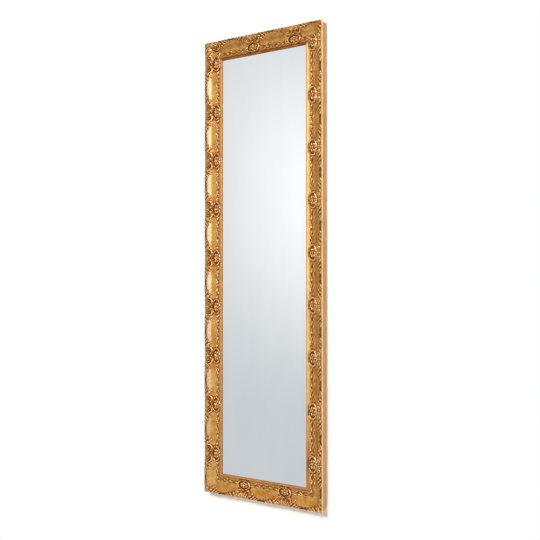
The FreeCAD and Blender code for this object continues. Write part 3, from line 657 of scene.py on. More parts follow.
class Tree:
    """A geometry node tree under construction, with named inputs for its sizes."""

    def __init__(self, name, **inputs):
        self.tree = bpy.data.node_groups.new(name, "GeometryNodeTree")
        self.tree.interface.new_socket("Geometry", in_out="INPUT", socket_type="NodeSocketGeometry")
        self.tree.interface.new_socket("Geometry", in_out="OUTPUT", socket_type="NodeSocketGeometry")
        for key, kind in inputs.items():
            self.tree.interface.new_socket(key, in_out="INPUT", socket_type=f"NodeSocket{kind}")
        self.entry = self.tree.nodes.new("NodeGroupInput")

    def input(self, name):
        """A named input of the tree."""
        return self.entry.outputs[name]

    def feed(self, socket, value):
        """Links a socket or sets its value."""
        if isinstance(value, bpy.types.NodeSocket):
            self.tree.links.new(value, socket)
        else:
            socket.default_value = value

    def node(self, kind, settings=None, output=0, **values):
        """A node with its settings, and values or links for its sockets, underscores for spaces."""
        node = self.tree.nodes.new(kind)
        for key, value in (settings or {}).items():
            setattr(node, key, value)
        for key, value in values.items():
            names = (key, key.replace("_", " "))
            socket = next(s for s in node.inputs if s.enabled and (s.identifier == key or s.name in names))
            self.feed(socket, value)
        if isinstance(output, int):
            return node.outputs[output]
        return next(s for s in node.outputs if s.enabled and s.name == output)

    def maths(self, operation, *operands):
        """A Math node on one to three values."""
        node = self.tree.nodes.new("ShaderNodeMath")
        node.operation = operation
        for socket, value in zip(node.inputs, operands):
            self.feed(socket, value)
        return node.outputs[0]

    def vector(self, operation, first, **values):
        """A Vector Math node."""
        return self.node("ShaderNodeVectorMath", {"operation": operation}, Vector=first, **values)

    def shape(self, name):
        """The geometry of the object that is given to an input."""
        settings = {"transform_space": "ORIGINAL"}
        return self.node("GeometryNodeObjectInfo", settings, "Geometry", Object=self.input(name))

    def place(self):
        """The three coordinates of each point."""
        point = self.node("GeometryNodeInputPosition")
        return [self.node("ShaderNodeSeparateXYZ", output=axis, Vector=point) for axis in "XYZ"]

    def finish(self, geometry, material):
        """Realizes the instances, sets the material and ends the tree."""
        real = self.node("GeometryNodeRealizeInstances", Geometry=geometry)
        dressed = self.node("GeometryNodeSetMaterial", Geometry=real, Material=material)
        end = self.tree.nodes.new("NodeGroupOutput")
        self.tree.links.new(dressed, end.inputs[0])
        return self.tree


def sweep_tree():
    """Sweeps a section along a straight length and draws its ends in to 45 degree mitres."""
    t = Tree("moulding_sweep", Section="Object", Half_Length="Float", Stations="Int", Finish="Material")
    half = t.input("Half_Length")
    low = t.node("ShaderNodeCombineXYZ", Z=t.maths("MULTIPLY", half, -1.0))
    path = t.node("GeometryNodeCurvePrimitiveLine", Start=low, End=t.node("ShaderNodeCombineXYZ", Z=half))
    path = t.node("GeometryNodeResampleCurve", Curve=path, Count=t.input("Stations"))
    path = t.node("GeometryNodeSetCurveNormal", {"mode": "FREE"}, Curve=path, Normal=(1.0, 0.0, 0.0))
    section = t.node(
        "GeometryNodeStoreNamedAttribute", {"data_type": "FLOAT", "domain": "POINT"}, Name="across",
        Geometry=t.shape("Section"), Value=t.node("GeometryNodeSplineParameter", output="Length"),
    )
    swept = t.node("GeometryNodeCurveToMesh", Curve=path, Profile_Curve=section, Fill_Caps=True)
    swept = t.node("GeometryNodeFlipFaces", Mesh=swept)
    u, v, s = t.place()
    inset = t.maths("DIVIDE", t.maths("SUBTRACT", half, u), half)
    mitred = t.node("ShaderNodeCombineXYZ", X=u, Y=v, Z=t.maths("MULTIPLY", s, inset))
    return t.finish(t.node("GeometryNodeSetPosition", Geometry=swept, Position=mitred), t.input("Finish"))


def ornament_tree():
    """Repeats a flat relief at a pitch and bends it onto a line across the moulding."""
    t = Tree(
        "applied_ornament", Unit="Object", Carrier="Object", First="Float", Pitch="Float", Count="Int",
        Finish="Material",
    )
    row = t.node(
        "GeometryNodeMeshLine", Count=t.input("Count"),
        Start_Location=t.node("ShaderNodeCombineXYZ", Z=t.input("First")),
        Offset=t.node("ShaderNodeCombineXYZ", Z=t.input("Pitch")),
    )
    pressed = t.node("GeometryNodeInstanceOnPoints", Points=row, Instance=t.shape("Unit"))
    pressed = t.node("GeometryNodeRealizeInstances", Geometry=pressed)
    across, out, along = t.place()
    line = t.shape("Carrier")
    foot, ahead = (
        t.node("GeometryNodeSampleCurve", {"mode": "LENGTH"}, output, Curves=line, Length=across)
        for output in ("Position", "Tangent")
    )
    outward = t.vector("CROSS_PRODUCT", (0.0, 0.0, 1.0), Vector_001=ahead)
    lifted = t.vector("SCALE", outward, Scale=out)
    bent = t.vector("ADD", foot, Vector_001=lifted)
    placed = t.vector("ADD", bent, Vector_001=t.node("ShaderNodeCombineXYZ", Z=along))
    return t.finish(t.node("GeometryNodeSetPosition", Geometry=pressed, Position=placed), t.input("Finish"))


def grown(name, tree, **values):
    """A new object made by a node tree, as a plain mesh."""
    item = linked(bpy.data.objects.new(name, bpy.data.meshes.new(name)))
    modifier = item.modifiers.new("grow", "NODES")
    modifier.node_group = tree
    sockets = {s.name: s.identifier for s in tree.interface.items_tree if s.in_out == "INPUT"}
    for key, value in values.items():
        modifier[sockets[key]] = value
    bpy.context.view_layer.update()
    mesh = bpy.data.meshes.new_from_object(item.evaluated_get(bpy.context.evaluated_depsgraph_get()))
    item.modifiers.remove(modifier)
    blank, item.data = item.data, mesh
    bpy.data.meshes.remove(blank)
    mesh.name = name
    if not mesh.polygons:
        raise RuntimeError(f"{name}: its node tree made no faces")
    return item


# Places of the four lengths.


def half_length(name):
    """Half the outer length of a stile or a rail, in millimetres."""
    low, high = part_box(name)
    return max(high - low) / 2 / MM


def local_frame(name):
    """The matrix from u inwards, v forwards and s along to the shared frame."""
    low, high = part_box(name)
    u, s, corner = {
        "left_stile": (Vector((1, 0, 0)), Vector((0, 0, -1)), Vector((low.x, 0, 0))),
        "right_stile": (Vector((-1, 0, 0)), Vector((0, 0, 1)), Vector((high.x, 0, 0))),
        "top_rail": (Vector((0, 0, -1)), Vector((-1, 0, 0)), Vector((0, 0, high.z))),
        "bottom_rail": (Vector((0, 0, 1)), Vector((1, 0, 0)), Vector((0, 0, low.z))),
    }[name]
    v = s.cross(u)
    corner.y = -WALL_GAP * MM
    turn = Matrix((u, v, s)).transposed().to_4x4()
    return Matrix.Translation(corner) @ turn


def shift_of(sizes, name):
    """Where the first medallion stands from the middle of a length, in millimetres."""
    return getattr(sizes, name.split("_")[0] + "_shift") / MM


def points_of(mesh):
    """The mesh's points as an array."""
    flat = np.empty(len(mesh.vertices) * 3, np.float32)
    mesh.vertices.foreach_get("co", flat)
    return flat.reshape(-1, 3).astype(float)


def set_points(mesh, points):
    """Moves the mesh's points."""
    mesh.vertices.foreach_set("co", points.astype(np.float32).ravel())
    mesh.update()


def add_values(mesh, name, values):
    """Stores a number for each point, for the finish to read."""
    mesh.attributes.new(name, "FLOAT", "POINT").data.foreach_set("value", np.asarray(values, np.float32))


CUT_SNAP = 1e-7


def mitred(mesh, half):
    """Cuts a mesh at both mitres of its length and closes the cuts."""
    bm = bmesh.new()
    bm.from_mesh(mesh)
    for end in (-1, 1):
        normal = Vector((1, 0, end)).normalized()
        cut = bmesh.ops.bisect_plane(
            bm, geom=bm.verts[:] + bm.edges[:] + bm.faces[:], dist=CUT_SNAP,
            plane_co=(half * MM, 0, 0), plane_no=normal, clear_outer=True,
        )
        edges = [e for e in cut["geom_cut"] if isinstance(e, bmesh.types.BMEdge) and e.is_boundary]
        if edges:
            bmesh.ops.triangle_fill(bm, use_beauty=True, edges=edges, normal=normal)
        still_open = [e for e in bm.edges if e.is_boundary]
        if still_open:
            bmesh.ops.holes_fill(bm, edges=still_open, sides=0)
    if any(not e.is_contiguous for e in bm.edges):
        raise RuntimeError(f"{mesh.name}: its mitres are not closed")
    bm.to_mesh(mesh)
    bm.free()
    mesh.update()


def smoothed(mesh, degrees):
    """Shades a mesh smooth, with edges sharper than the angle kept."""
    mesh.polygons.foreach_set("use_smooth", np.ones(len(mesh.polygons), bool))
    mesh.set_sharp_from_angle(angle=math.radians(degrees))


# The dark wash on the plain parts, and painted shade on the lips, set for each length and darker towards a
# stile's foot. A lip's two numbers are for its slope and its flat top.

BAND_MIDDLE, BAND_HALF_WIDTH, BAND_WASH = (BAND_START + BAND_END) / 2, 9.6, 0.8
RIM_WASH_END, RIM_WASH = 14.0, 0.62
LIP_START = BAND_END - 0.2
LIP_SHADE = {
    "left_stile": (0.45, 0.2), "right_stile": (0.0, 0.0),
    "top_rail": (0.8, 0.7), "bottom_rail": (0.6, 0.52),
}
# Towards a stile's foot the painted highlight on the steep side of the hollow fades and the painted shade on
# the lips darkens. The painted highlight is set for each length, strongest on the left stile, where the
# light's reflection falls.
LOW_START, LOW_SPAN, LOW_HIGHLIGHT_FADE = -200.0, 450.0, 0.85
LOW_SHADE = {"left_stile": 0.2, "right_stile": 0.62, "top_rail": 0.0, "bottom_rail": 0.0}
STEEP_HIGHLIGHT = {"left_stile": 0.85, "right_stile": 0.3, "top_rail": 0.0, "bottom_rail": 0.1}


def lowness(name, s):
    """From 0 to 1 where a stile comes near its foot, where the painted highlight fades and the painted shade
    on the lip darkens.
    """
    height = {"left_stile": -s, "right_stile": s}.get(name, np.zeros_like(s))
    return np.clip((LOW_START - height) / LOW_SPAN, 0, 1)


RIM_EASE, FACE_EASE, BAND_EASE = 0.8, 2.6, 0.4


class Ornament:
    """The three kinds of relief and the lines that they are laid along, made once."""

    made = None

    def __init__(self, sizes):
        step, half_pitch = sizes.relief_step / MM, sizes.pitch / MM / 2
        rim, face = Carrier("rim_line", RIM_EASE), Carrier("face_line", FACE_EASE)
        band = Carrier("band_line", BAND_EASE)
        self.kinds = {
            "medallions": (face, medallion_relief(face, step), 0.0),
            "leaf_sprays": (rim, spray_relief(rim, step, half_pitch), 0.0),
            "leaf_run": (band, garland_relief(band, step), half_pitch),
        }
        self.pitch = sizes.pitch / MM

    @classmethod
    def get(cls):
        """The relief, made on the first call."""
        if cls.made is None:
            cls.made = cls(bpy.context.scene.mirror_sizes)
        return cls.made

    def shadow(self, name, u, s):
        """How much dark wash lies at insets and places of a length: patina with painted shade round the
        ornament near by, old wash in the band and at the rim, and painted shade on the lips.
        """
        total = np.zeros_like(u)
        shift = shift_of(bpy.context.scene.mirror_sizes, name)
        for carrier, relief, offset in self.kinds.values():
            cover, step = relief.cover(), relief.step
            along = (s - shift - offset + self.pitch / 2) % self.pitch - self.pitch / 2
            i = np.round((along - relief.s[0, 0]) / step).astype(int)
            j = np.round((carrier.at(u) - relief.t[0, 0]) / step).astype(int)
            inside = (i >= 0) & (j >= 0) & (i < cover.shape[0]) & (j < cover.shape[1])
            total[inside] = np.maximum(total[inside], cover[i[inside], j[inside]])
        band = np.clip(1 - np.abs(u - BAND_MIDDLE) / BAND_HALF_WIDTH, 0, 1) ** 0.5 * BAND_WASH
        rim = np.clip((RIM_WASH_END - u) / RIM_WASH_END, 0, 1) ** 0.5 * RIM_WASH
        # Painted shade on the lips, set for each length and darker towards a stile's foot.
        slope, flat = LIP_SHADE[name]
        lip = np.where(u > LIP_TOP, flat, slope) + LOW_SHADE[name] * lowness(name, s)
        lip = np.where(u > LIP_START, lip, 0)
        return np.maximum.reduce((total, band, rim, lip))


# Finishes.


class Flow:
    """A shader socket, so that maths on it is written with Python's operators."""

    def __init__(self, tree, socket):
        self.tree, self.socket = tree, socket

    def maths(self, operation, *operands):
        """A Math node on one to three values."""
        node = self.tree.nodes.new("ShaderNodeMath")
        node.operation = operation
        for socket, value in zip(node.inputs, operands):
            if isinstance(value, Flow):
                self.tree.links.new(value.socket, socket)
            else:
                socket.default_value = value
        return Flow(self.tree, node.outputs[0])

    def __add__(self, other):
        return self.maths("ADD", self, other)

    def __radd__(self, other):
        return self.maths("ADD", other, self)

    def __sub__(self, other):
        return self.maths("SUBTRACT", self, other)

    def __rsub__(self, other):
        return self.maths("SUBTRACT", other, self)

    def __mul__(self, other):
        return self.maths("MULTIPLY", self, other)

    def __rmul__(self, other):
        return self.maths("MULTIPLY", other, self)

    def larger(self, other):
        """The larger of two values."""
        return self.maths("MAXIMUM", self, other)

    def size(self):
        """The value without its sign."""
        return self.maths("ABSOLUTE", self)

    def between(self, low, high):
        """0 below the low value, 1 above the high one, smooth between them."""
        node = self.tree.nodes.new("ShaderNodeMapRange")
        node.interpolation_type = "SMOOTHSTEP"
        self.tree.links.new(self.socket, node.inputs["Value"])
        node.inputs["From Min"].default_value, node.inputs["From Max"].default_value = low, high
        return Flow(self.tree, node.outputs[0])


MIX_COLOUR = 2


class Finish:
    """A material under construction."""

    def __init__(self, name, tree=None):
        self.material = None
        if tree is None:
            self.material = bpy.data.materials.new(name)
            self.material.use_nodes = True
            tree = self.material.node_tree
        self.tree = tree
        tree.nodes.clear()

    def node(self, kind, settings=None, values=None, output=0):
        """A node with its settings, then the values or links of its sockets."""
        node = self.tree.nodes.new(kind)
        for key, value in (settings or {}).items():
            if key == "stops":
                ramp = node.color_ramp.elements
                while len(ramp) < len(value):
                    ramp.new(0.5)
                for stop, (position, tone) in zip(ramp, value):
                    stop.position, stop.color = position, (*tone, 1)
            else:
                setattr(node, key, value)
        for key, value in (values or {}).items():
            socket = next(s for s in node.inputs if s.enabled and key in (s.identifier, s.name))
            if isinstance(value, Flow):
                self.tree.links.new(value.socket, socket)
            elif socket.type == "RGBA" and len(value) == 3:
                socket.default_value = (*value, 1)
            else:
                socket.default_value = value
        return Flow(self.tree, node.outputs[output]) if node.outputs else None

    def place(self):
        """Object coordinates, in metres in the shared frame."""
        return self.node("ShaderNodeTexCoord", output="Object")

    def axis(self, vector, name):
        """One coordinate of a vector."""
        return self.node("ShaderNodeSeparateXYZ", None, {"Vector": vector}, name)

    def attribute(self, name):
        """A number that the mesh carries."""
        return self.node("ShaderNodeAttribute", {"attribute_name": name}, output="Fac")

    def stretched(self, vector, scale):
        """A vector scaled by axis."""
        return self.node("ShaderNodeMapping", {"vector_type": "POINT"}, {"Vector": vector, "Scale": scale})

    def noise(self, vector, scale, detail, roughness=0.55):
        """A noise value from 0 to 1."""
        values = {"Vector": vector, "Scale": scale, "Detail": detail, "Roughness": roughness}
        return self.node("ShaderNodeTexNoise", {"noise_dimensions": "3D"}, values)

    def blend(self, share, first, second):
        """A mix of two colours."""
        values = {"Factor_Float": share, "A_Color": first, "B_Color": second}
        return self.node("ShaderNodeMix", {"data_type": "RGBA", "blend_type": "MIX"}, values, MIX_COLOUR)

    def mixed(self, share, first, second):
        """A mix of two shaders."""
        return self.node("ShaderNodeMixShader", None, {"Fac": share, "Shader": first, "Shader_001": second})

    def level(self, value, stops):
        """A number read off a line through stops."""
        greys = [(position, (grey, grey, grey)) for position, grey in stops]
        return self.node("ShaderNodeValToRGB", {"stops": greys}, {"Fac": value})

    def bump(self, height, distance, strength):
        """A normal from a height, the distance in metres."""
        values = {"Height": height, "Distance": distance, "Strength": strength}
        return self.node("ShaderNodeBump", None, values)

    def seen(self):
        """1 for what the camera sees straight."""
        return self.node("ShaderNodeLightPath", output="Is Camera Ray")

    def direct(self):
        """1 for what the camera sees, straight, in a gloss or through glass, and 0 past a matt surface."""
        kinds = ("Is Camera Ray", "Is Glossy Ray", "Is Transmission Ray", "Diffuse Depth")
        seen, gloss, through, matt = (self.node("ShaderNodeLightPath", output=kind) for kind in kinds)
        return seen.larger(gloss).larger(through) * (1 - matt.between(0.0, 1.0))

    def surface(self, **values):
        """The principled surface and the output, underscores for spaces."""
        values = {key.replace("_", " "): value for key, value in values.items()}
        return self.out(self.node("ShaderNodeBsdfPrincipled", None, values))

    def out(self, shader):
        """Ends the tree."""
        self.node("ShaderNodeOutputMaterial", None, {"Surface": shader})
        return self.material


# Heights and insets at which the finish changes, in millimetres.

FRONT_LEVEL, EDGE_LEVEL, COVE_LEVEL, GOLD_LEVEL = 12.5, 0.5, 16.5, 28.8
STEEP_INSET = 24.0
INNER_INSET, INNER_LEVEL = 69.4, 15.0
SIGHT_INSET, SIGHT_LEVEL = 69.2, 14.6


def section_marks(section):
    """Where the finish changes across the section, in metres along it from the middle of the back."""
    u, v = section.T
    reach = reach_along(section) * MM
    crest = int(np.argmax(v))

    def first(test):
        return float(reach[int(np.argmax(test))])

    return {
        "edge": first((v > EDGE_LEVEL) & (u < RIM_WIDTH)),
        "cove": first(v > COVE_LEVEL),
        "rim": float(np.interp(GOLD_LEVEL, v[:crest], reach[:crest])),
        "foot": first((u > STEEP_INSET) & (v > FRONT_LEVEL)),
        "lip": first((u > LIP_START) & (v > FRONT_LEVEL)),
        "inner": first((u > INNER_INSET) & (v > INNER_LEVEL)),
        "sight": first((u > SIGHT_INSET) & (v < SIGHT_LEVEL)),
    }


def moulding_finish(colours, marks):
    """Gold leaf in front, with a painted highlight on the steep side of the hollow and painted shade on the
    lips, a pale gold side, an ochre back band and bare wood behind.
    """
    f = Finish("gilded_moulding")
    place, across, wash, run = f.place(), f.attribute("across"), f.attribute("wash"), f.attribute("run")

    def past(mark, start, end):
        """0 before a mark across the section and 1 past it, start and end in millimetres from the mark."""
        return across.between(marks[mark] + start * MM, marks[mark] + end * MM)

    on_band, on_side, on_front = past("edge", -0.6, 0.2), past("cove", -0.8, 0.4), past("rim", -2.0, 1.0)
    on_back, past_inner = past("sight", -0.5, 0.5), past("inner", -0.6, 0.0)
    gilt, on_inner = on_side * (1 - on_back), past_inner * (1 - on_back)
    steep = past("rim", 6.0, 13.0) * (1 - past("foot", -11.0, -2.0))

    weave = f.node("ShaderNodeCombineXYZ", None, {"X": run, "Y": across, "Z": 0.0})
    slant = f.node("ShaderNodeCombineXYZ", None, {"X": run + across * 0.6, "Y": across, "Z": 0.0})
    scratch = f.noise(f.stretched(slant, (340.0, 24.0, 1.0)), scale=1.0, detail=4.0, roughness=0.65)
    grain = f.noise(f.stretched(weave, (14.0, 420.0, 1.0)), scale=1.0, detail=4.0)
    cloud, speck = f.noise(place, scale=34.0, detail=4.0), f.noise(place, scale=420.0, detail=2.0)
    # The bole and the dark wash follow the stored wash: wear and patina, with painted shade round the
    # ornament and on the lips.
    worn_and_shaded = (wash * 1.15 + (cloud - 0.5) * 0.5 + (speck - 0.5) * 0.25).between(0.3, 0.95)
    on_lip = past("lip", -0.6, 0.4) * (1 - past_inner) * (1 - worn_and_shaded)

    gold = f.blend((scratch * 0.6 + cloud * 0.4).between(0.35, 0.68), colours.gold, colours.bright_gold)
    # Painted highlight: pale gold on the steep side of the hollow, where the light's reflection falls, set
    # for each length and fading towards a stile's foot.
    gold = f.blend(steep * scratch.between(0.28, 0.58) * f.attribute("rub"), gold, colours.painted_highlight)
    rubbed = f.blend(worn_and_shaded.between(0.0, 0.5) * 0.8, gold, colours.bole)
    front = f.blend(worn_and_shaded.between(0.45, 1.0) * 0.85, rubbed, colours.patina)
    pale = f.blend((cloud * 0.7 + speck * 0.3).between(0.3, 0.75) * 0.25, colours.side_gold, colours.gold)
    band = f.blend(grain.between(0.3, 0.75) * 0.35, colours.band, colours.bole)
    wood = f.blend(grain.between(0.35, 0.7) * 0.55, colours.raw_wood, colours.band)
    tint = wood
    for share, tone in ((on_band, band), (on_side, pale), (on_front, front), (on_back, wood)):
        tint = f.blend(share, tint, tone)
    # Painted highlight: the lip is tinted pale where the painted shade on the lips leaves it, most on the
    # right stile.
    tint = f.blend(on_lip * 0.3, tint, colours.side_gold)
    tint = f.blend(on_inner * 0.5, tint, colours.bole)
    rough = 0.62 - gilt * (0.26 - worn_and_shaded * 0.28) + on_lip * 0.1 + on_inner * 0.2 + (scratch - 0.5) * 0.2
    height = (scratch * on_front * (1 - on_back) + speck * 0.35) * (1 - on_lip * 0.85)
    return f.surface(
        Base_Color=tint, Metallic=gilt * (0.78 - worn_and_shaded * 0.6) * (1 - on_lip * 0.45), Roughness=rough,
        Normal=f.bump(height, distance=0.0004, strength=0.8), Specular_IOR_Level=0.15,
        Coat_Weight=gilt * 0.08, Coat_Roughness=0.2,
    )


def relief_finish(colours):
    """Gilded composition with a dark wash in its hollows, patina together with painted shade, and rubbed
    ridges with a painted highlight.
    """
    f = Finish("gilded_relief")
    place, hollow = f.place(), f.attribute("hollow")
    cloud, speck = f.noise(place, scale=40.0, detail=3.0), f.noise(place, scale=520.0, detail=2.0)
    depth = hollow + (cloud - 0.5) * 0.12 + (speck - 0.5) * 0.08
    # The hollows get patina together with painted shade, and the ridges rubbed gold together with a painted
    # highlight, paled towards cream.
    wash, ridge = depth.between(0.42, 0.76), 1 - depth.between(0.12, 0.42)
    gold = f.blend(cloud.between(0.35, 0.7) * 0.35, colours.relief_gold, colours.bole)
    tint = f.blend(ridge * 0.75, gold, colours.relief_bright)
    tint = f.blend(ridge * ridge * 0.3, tint, colours.side_gold)
    tint = f.blend(wash * 0.9, tint, colours.patina)
    rough = 0.31 + wash * 0.3 - ridge * 0.06 + (speck - 0.5) * 0.1
    return f.surface(
        Base_Color=tint, Metallic=0.84 - wash * 0.5, Roughness=rough,
        Normal=f.bump(speck + cloud * 0.5, distance=0.00018, strength=0.6), Specular_IOR_Level=0.15,
        Coat_Weight=0.1 - wash * 0.1, Coat_Roughness=0.2,
    )


def pane_finish(colours):
    """Silvered glass with faint smears and dust."""
    f = Finish("silvered_pane")
    place = f.place()
    smear = f.noise(f.stretched(place, (3.0, 1.0, 1.2)), scale=3.0, detail=4.0)
    dust = f.noise(place, scale=240.0, detail=2.0)
    haze = smear.between(0.5, 0.8) * 0.02 + dust.between(0.72, 0.85) * 0.03
    tint = f.blend(smear.between(0.3, 0.8) * 0.35, colours.silver, shade(238, 243, 245))
    return f.surface(Base_Color=tint, Metallic=1.0, Roughness=haze + 0.015)


def hardboard_finish(colours):
    """Pressed fibres, smooth on one face."""
    f = Finish("hardboard")
    place = f.place()
    fibre = f.noise(f.stretched(place, (1.0, 1.0, 0.35)), scale=260.0, detail=5.0, roughness=0.7)
    patch = f.noise(place, scale=9.0, detail=3.0)
    tint = f.blend((fibre * 0.7 + patch * 0.3).between(0.36, 0.66), colours.hardboard, shade(92, 62, 36))
    fuzz = f.bump(fibre, distance=0.0002, strength=0.6)
    return f.surface(Base_Color=tint, Roughness=0.66 + (fibre - 0.5) * 0.25, Normal=fuzz)


def steel_finish(colours):
    """Zinc plating with spangle and fine drawing marks."""
    f = Finish("zinc_steel")
    place = f.place()
    spangle = f.node("ShaderNodeTexVoronoi", {"feature": "F1"}, {"Vector": place, "Scale": 420.0})
    drawn = f.noise(f.stretched(place, (90.0, 900.0, 900.0)), scale=1.0, detail=3.0)
    tint = f.blend(spangle.between(0.1, 0.7) * 0.5, colours.steel, shade(150, 152, 158))
    lines = f.bump(drawn, distance=0.00006, strength=0.5)
    return f.surface(Base_Color=tint, Metallic=1.0, Roughness=0.28 + drawn * 0.2, Normal=lines)


def rubber_finish(colours):
    """Matt moulded rubber."""
    f = Finish("matt_rubber")
    place = f.place()
    pore, bloom = f.noise(place, scale=1500.0, detail=2.0), f.noise(place, scale=160.0, detail=3.0)
    tint = f.blend(bloom.between(0.4, 0.75) * 0.6, colours.rubber, shade(70, 70, 72))
    pitted = f.bump(pore, distance=0.00008, strength=0.5)
    return f.surface(Base_Color=tint, Roughness=0.72 + (pore - 0.5) * 0.2, Normal=pitted)


def put_finish(nodes, material):
    """Gives CAD pieces their finish."""
    for name in nodes:
        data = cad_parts[name].data
        data.materials.clear()
        data.materials.append(material)


# Operators.

MOULDING_CREASE, RELIEF_CREASE = 40, 55
BOX_ROOM = 0.05


class MIRROR_OT_mouldings(bpy.types.Operator):
    """Sweep the four gilded lengths and mitre them"""

    bl_idname = "mirror.mouldings"
    bl_label = "Mouldings"

    def execute(self, context):
        sizes, colours = context.scene.mirror_sizes, context.scene.mirror_colours
        section = moulding_section()
        finish, tree = moulding_finish(colours, section_marks(section)), sweep_tree()
        profile = polyline("moulding_section", section, True)
        ornament = Ornament.get()
        for name in LENGTHS:
            half = half_length(name)
            item = grown(
                name + "_gilded", tree, Section=profile, Half_Length=half * MM,
                Stations=int(2 * half * MM / sizes.station), Finish=finish,
            )
            points = points_of(item.data)
            u, s = points[:, 0] / MM, points[:, 2] / MM
            front = points[:, 1] / MM > FRONT_LEVEL
            # Stores the dark wash: patina, with painted shade round the ornament and on the lips.
            add_values(item.data, "wash", np.where(front, ornament.shadow(name, u, s), 0))
            add_values(item.data, "run", points[:, 2])
            # The strength of the painted highlight on the steep side of the hollow, for each length and less
            # towards a stile's foot.
            add_values(item.data, "rub", STEEP_HIGHLIGHT[name] * (1 - LOW_HIGHLIGHT_FADE * lowness(name, s)))
            smoothed(item.data, MOULDING_CREASE)
            item.data.transform(local_frame(name))
            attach(item, "frame")
            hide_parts(name)
        dropped(profile)
        return {"FINISHED"}


def lay_ornament(kind):
    """Applies one kind of relief along all four lengths."""
    sizes, ornament = bpy.context.scene.mirror_sizes, Ornament.get()
    carrier, relief, offset = ornament.kinds[kind]
    line, unit = carrier.curve(), relief.unit(kind + "_unit", sizes.relief_rise)
    tree = bpy.data.node_groups.get("applied_ornament") or ornament_tree()
    finish = bpy.data.materials.get("gilded_relief") or relief_finish(bpy.context.scene.mirror_colours)
    reach = relief.s[-1, 0]
    depth = -CAD_LOW.y - WALL_GAP * MM
    for name in LENGTHS:
        half, start = half_length(name), shift_of(sizes, name) + offset
        first = math.ceil((-half - reach - start) / ornament.pitch)
        last = math.floor((half + reach - start) / ornament.pitch)
        item = grown(
            f"{name}_{kind}_relief", tree, Unit=unit, Carrier=line, Pitch=ornament.pitch * MM,
            First=(start + first * ornament.pitch) * MM, Count=last - first + 1, Finish=finish,
        )
        points = points_of(item.data)
        points[:, 0] = np.maximum(points[:, 0], BOX_ROOM * MM)
        points[:, 1] = np.minimum(points[:, 1], depth - BOX_ROOM * MM)
        set_points(item.data, points)
        mitred(item.data, half)
        smoothed(item.data, RELIEF_CREASE)
        item.data.transform(local_frame(name))
        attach(item, "frame")
        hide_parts(f"{name}_{kind}")
    dropped(line, unit)


class MIRROR_OT_medallions(bpy.types.Operator):
    """Apply the rosettes with their shells"""

    bl_idname = "mirror.medallions"
    bl_label = "Medallions"

    def execute(self, context):
        lay_ornament("medallions")
        return {"FINISHED"}


class MIRROR_OT_leaf_sprays(bpy.types.Operator):
    """Apply the acanthus leaves along the rim"""

    bl_idname = "mirror.leaf_sprays"
    bl_label = "Leaf sprays"

    def execute(self, context):
        lay_ornament("leaf_sprays")
        return {"FINISHED"}


class MIRROR_OT_leaf_runs(bpy.types.Operator):
    """Apply the leaf garlands on the inner round"""

    bl_idname = "mirror.leaf_runs"
    bl_label = "Leaf runs"

    def execute(self, context):
        lay_ornament("leaf_run")
        return {"FINISHED"}


class MIRROR_OT_pane(bpy.types.Operator):
    """Silver the pane"""

    bl_idname = "mirror.pane"
    bl_label = "Pane"

    def execute(self, context):
        put_finish(["mirror_glass"], pane_finish(context.scene.mirror_colours))
        return {"FINISHED"}


class MIRROR_OT_backing(bpy.types.Operator):
    """Finish the backing board, the setting blocks and the bumpers"""

    bl_idname = "mirror.backing"
    bl_label = "Backing"

    def execute(self, context):
        colours = context.scene.mirror_colours
        put_finish(["backing_board"], hardboard_finish(colours))
        put_finish(["setting_blocks", "wall_bumpers"], rubber_finish(colours))
        return {"FINISHED"}


class MIRROR_OT_fittings(bpy.types.Operator):
    """Plate the hangers, screws, points and nails"""

    bl_idname = "mirror.fittings"
    bl_label = "Fittings"

    def execute(self, context):
        hangers = [f"{side}_hanger_{part}" for side in ("left", "right") for part in ("strap", "ring")]
        steel = steel_finish(context.scene.mirror_colours)
        put_finish([*hangers, "hanger_screws", "backing_points", "corner_nails"], steel)
        return {"FINISHED"}


# The room that the pane and the gold reflect: a bright panel and dim walls, by height and by turn.

PANEL_HEIGHTS = (
    (0.40, 0.0), (0.43, 0.04), (0.451, 0.16), (0.473, 0.41), (0.495, 0.68), (0.518, 0.9), (0.54, 1.0),
    (0.563, 1.0), (0.584, 0.86), (0.606, 0.66), (0.63, 0.4), (0.7, 0.0),
)
PANEL_TURNS = (
    (0.15, 0.0), (0.182, 0.46), (0.192, 0.67), (0.203, 0.84), (0.215, 1.0), (0.4, 0.6), (0.6, 0.6),
    (0.78, 1.0),
)
ROOM_HEIGHTS = ((0.0, 0.45), (0.28, 0.5), (0.38, 1.0), (0.65, 1.0), (0.76, 0.85), (1.0, 0.9))
ROOM_TURNS = ((0.0, 0.2), (0.1, 0.3), (0.165, 1.0), (0.25, 1.0), (0.5, 0.95), (0.8, 1.0))
ROOM_TONES = (
    (0.28, shade(228, 200, 165)), (0.38, shade(203, 206, 209)), (0.65, shade(203, 206, 209)),
    (0.76, shade(244, 206, 150)),
)
AMBIENT = 0.24

# The stage, in metres. The wall turns plain white to the camera between the two distances of a fade.

WALL_GLOW, WALL_CLEARANCE = 0.04, 0.0008
WALL_FADE_WIDE, WALL_FADE_HIGH = (0.256, 0.285), (0.818, 0.86)
WALL_HALF_WIDTH, WALL_TOP = 3.2, 2.6
FLOOR_LEVEL, FLOOR_REACH, FLOOR_FADE = -1.3, 2.6, 0.72
KEY_PLACE, KEY_SIZE = (0.3, -3.2, 1.25), (0.8, 0.8)
FILL_PLACE, FILL_SIZE = (2.45, -2.55, 0.6), (0.35, 2.0)
HIGH_PLACE, HIGH_SIZE = (1.9, -2.2, 2.5), (0.7, 0.7)
REAR_PLACE, REAR_SIZE, REAR_SHARE = (-1.2, 2.6, 1.4), (1.6, 1.6), 0.6
SENSOR_WIDTH = 36.0
WHITE, BLACK = (1.0, 1.0, 1.0), (0.0, 0.0, 0.0)


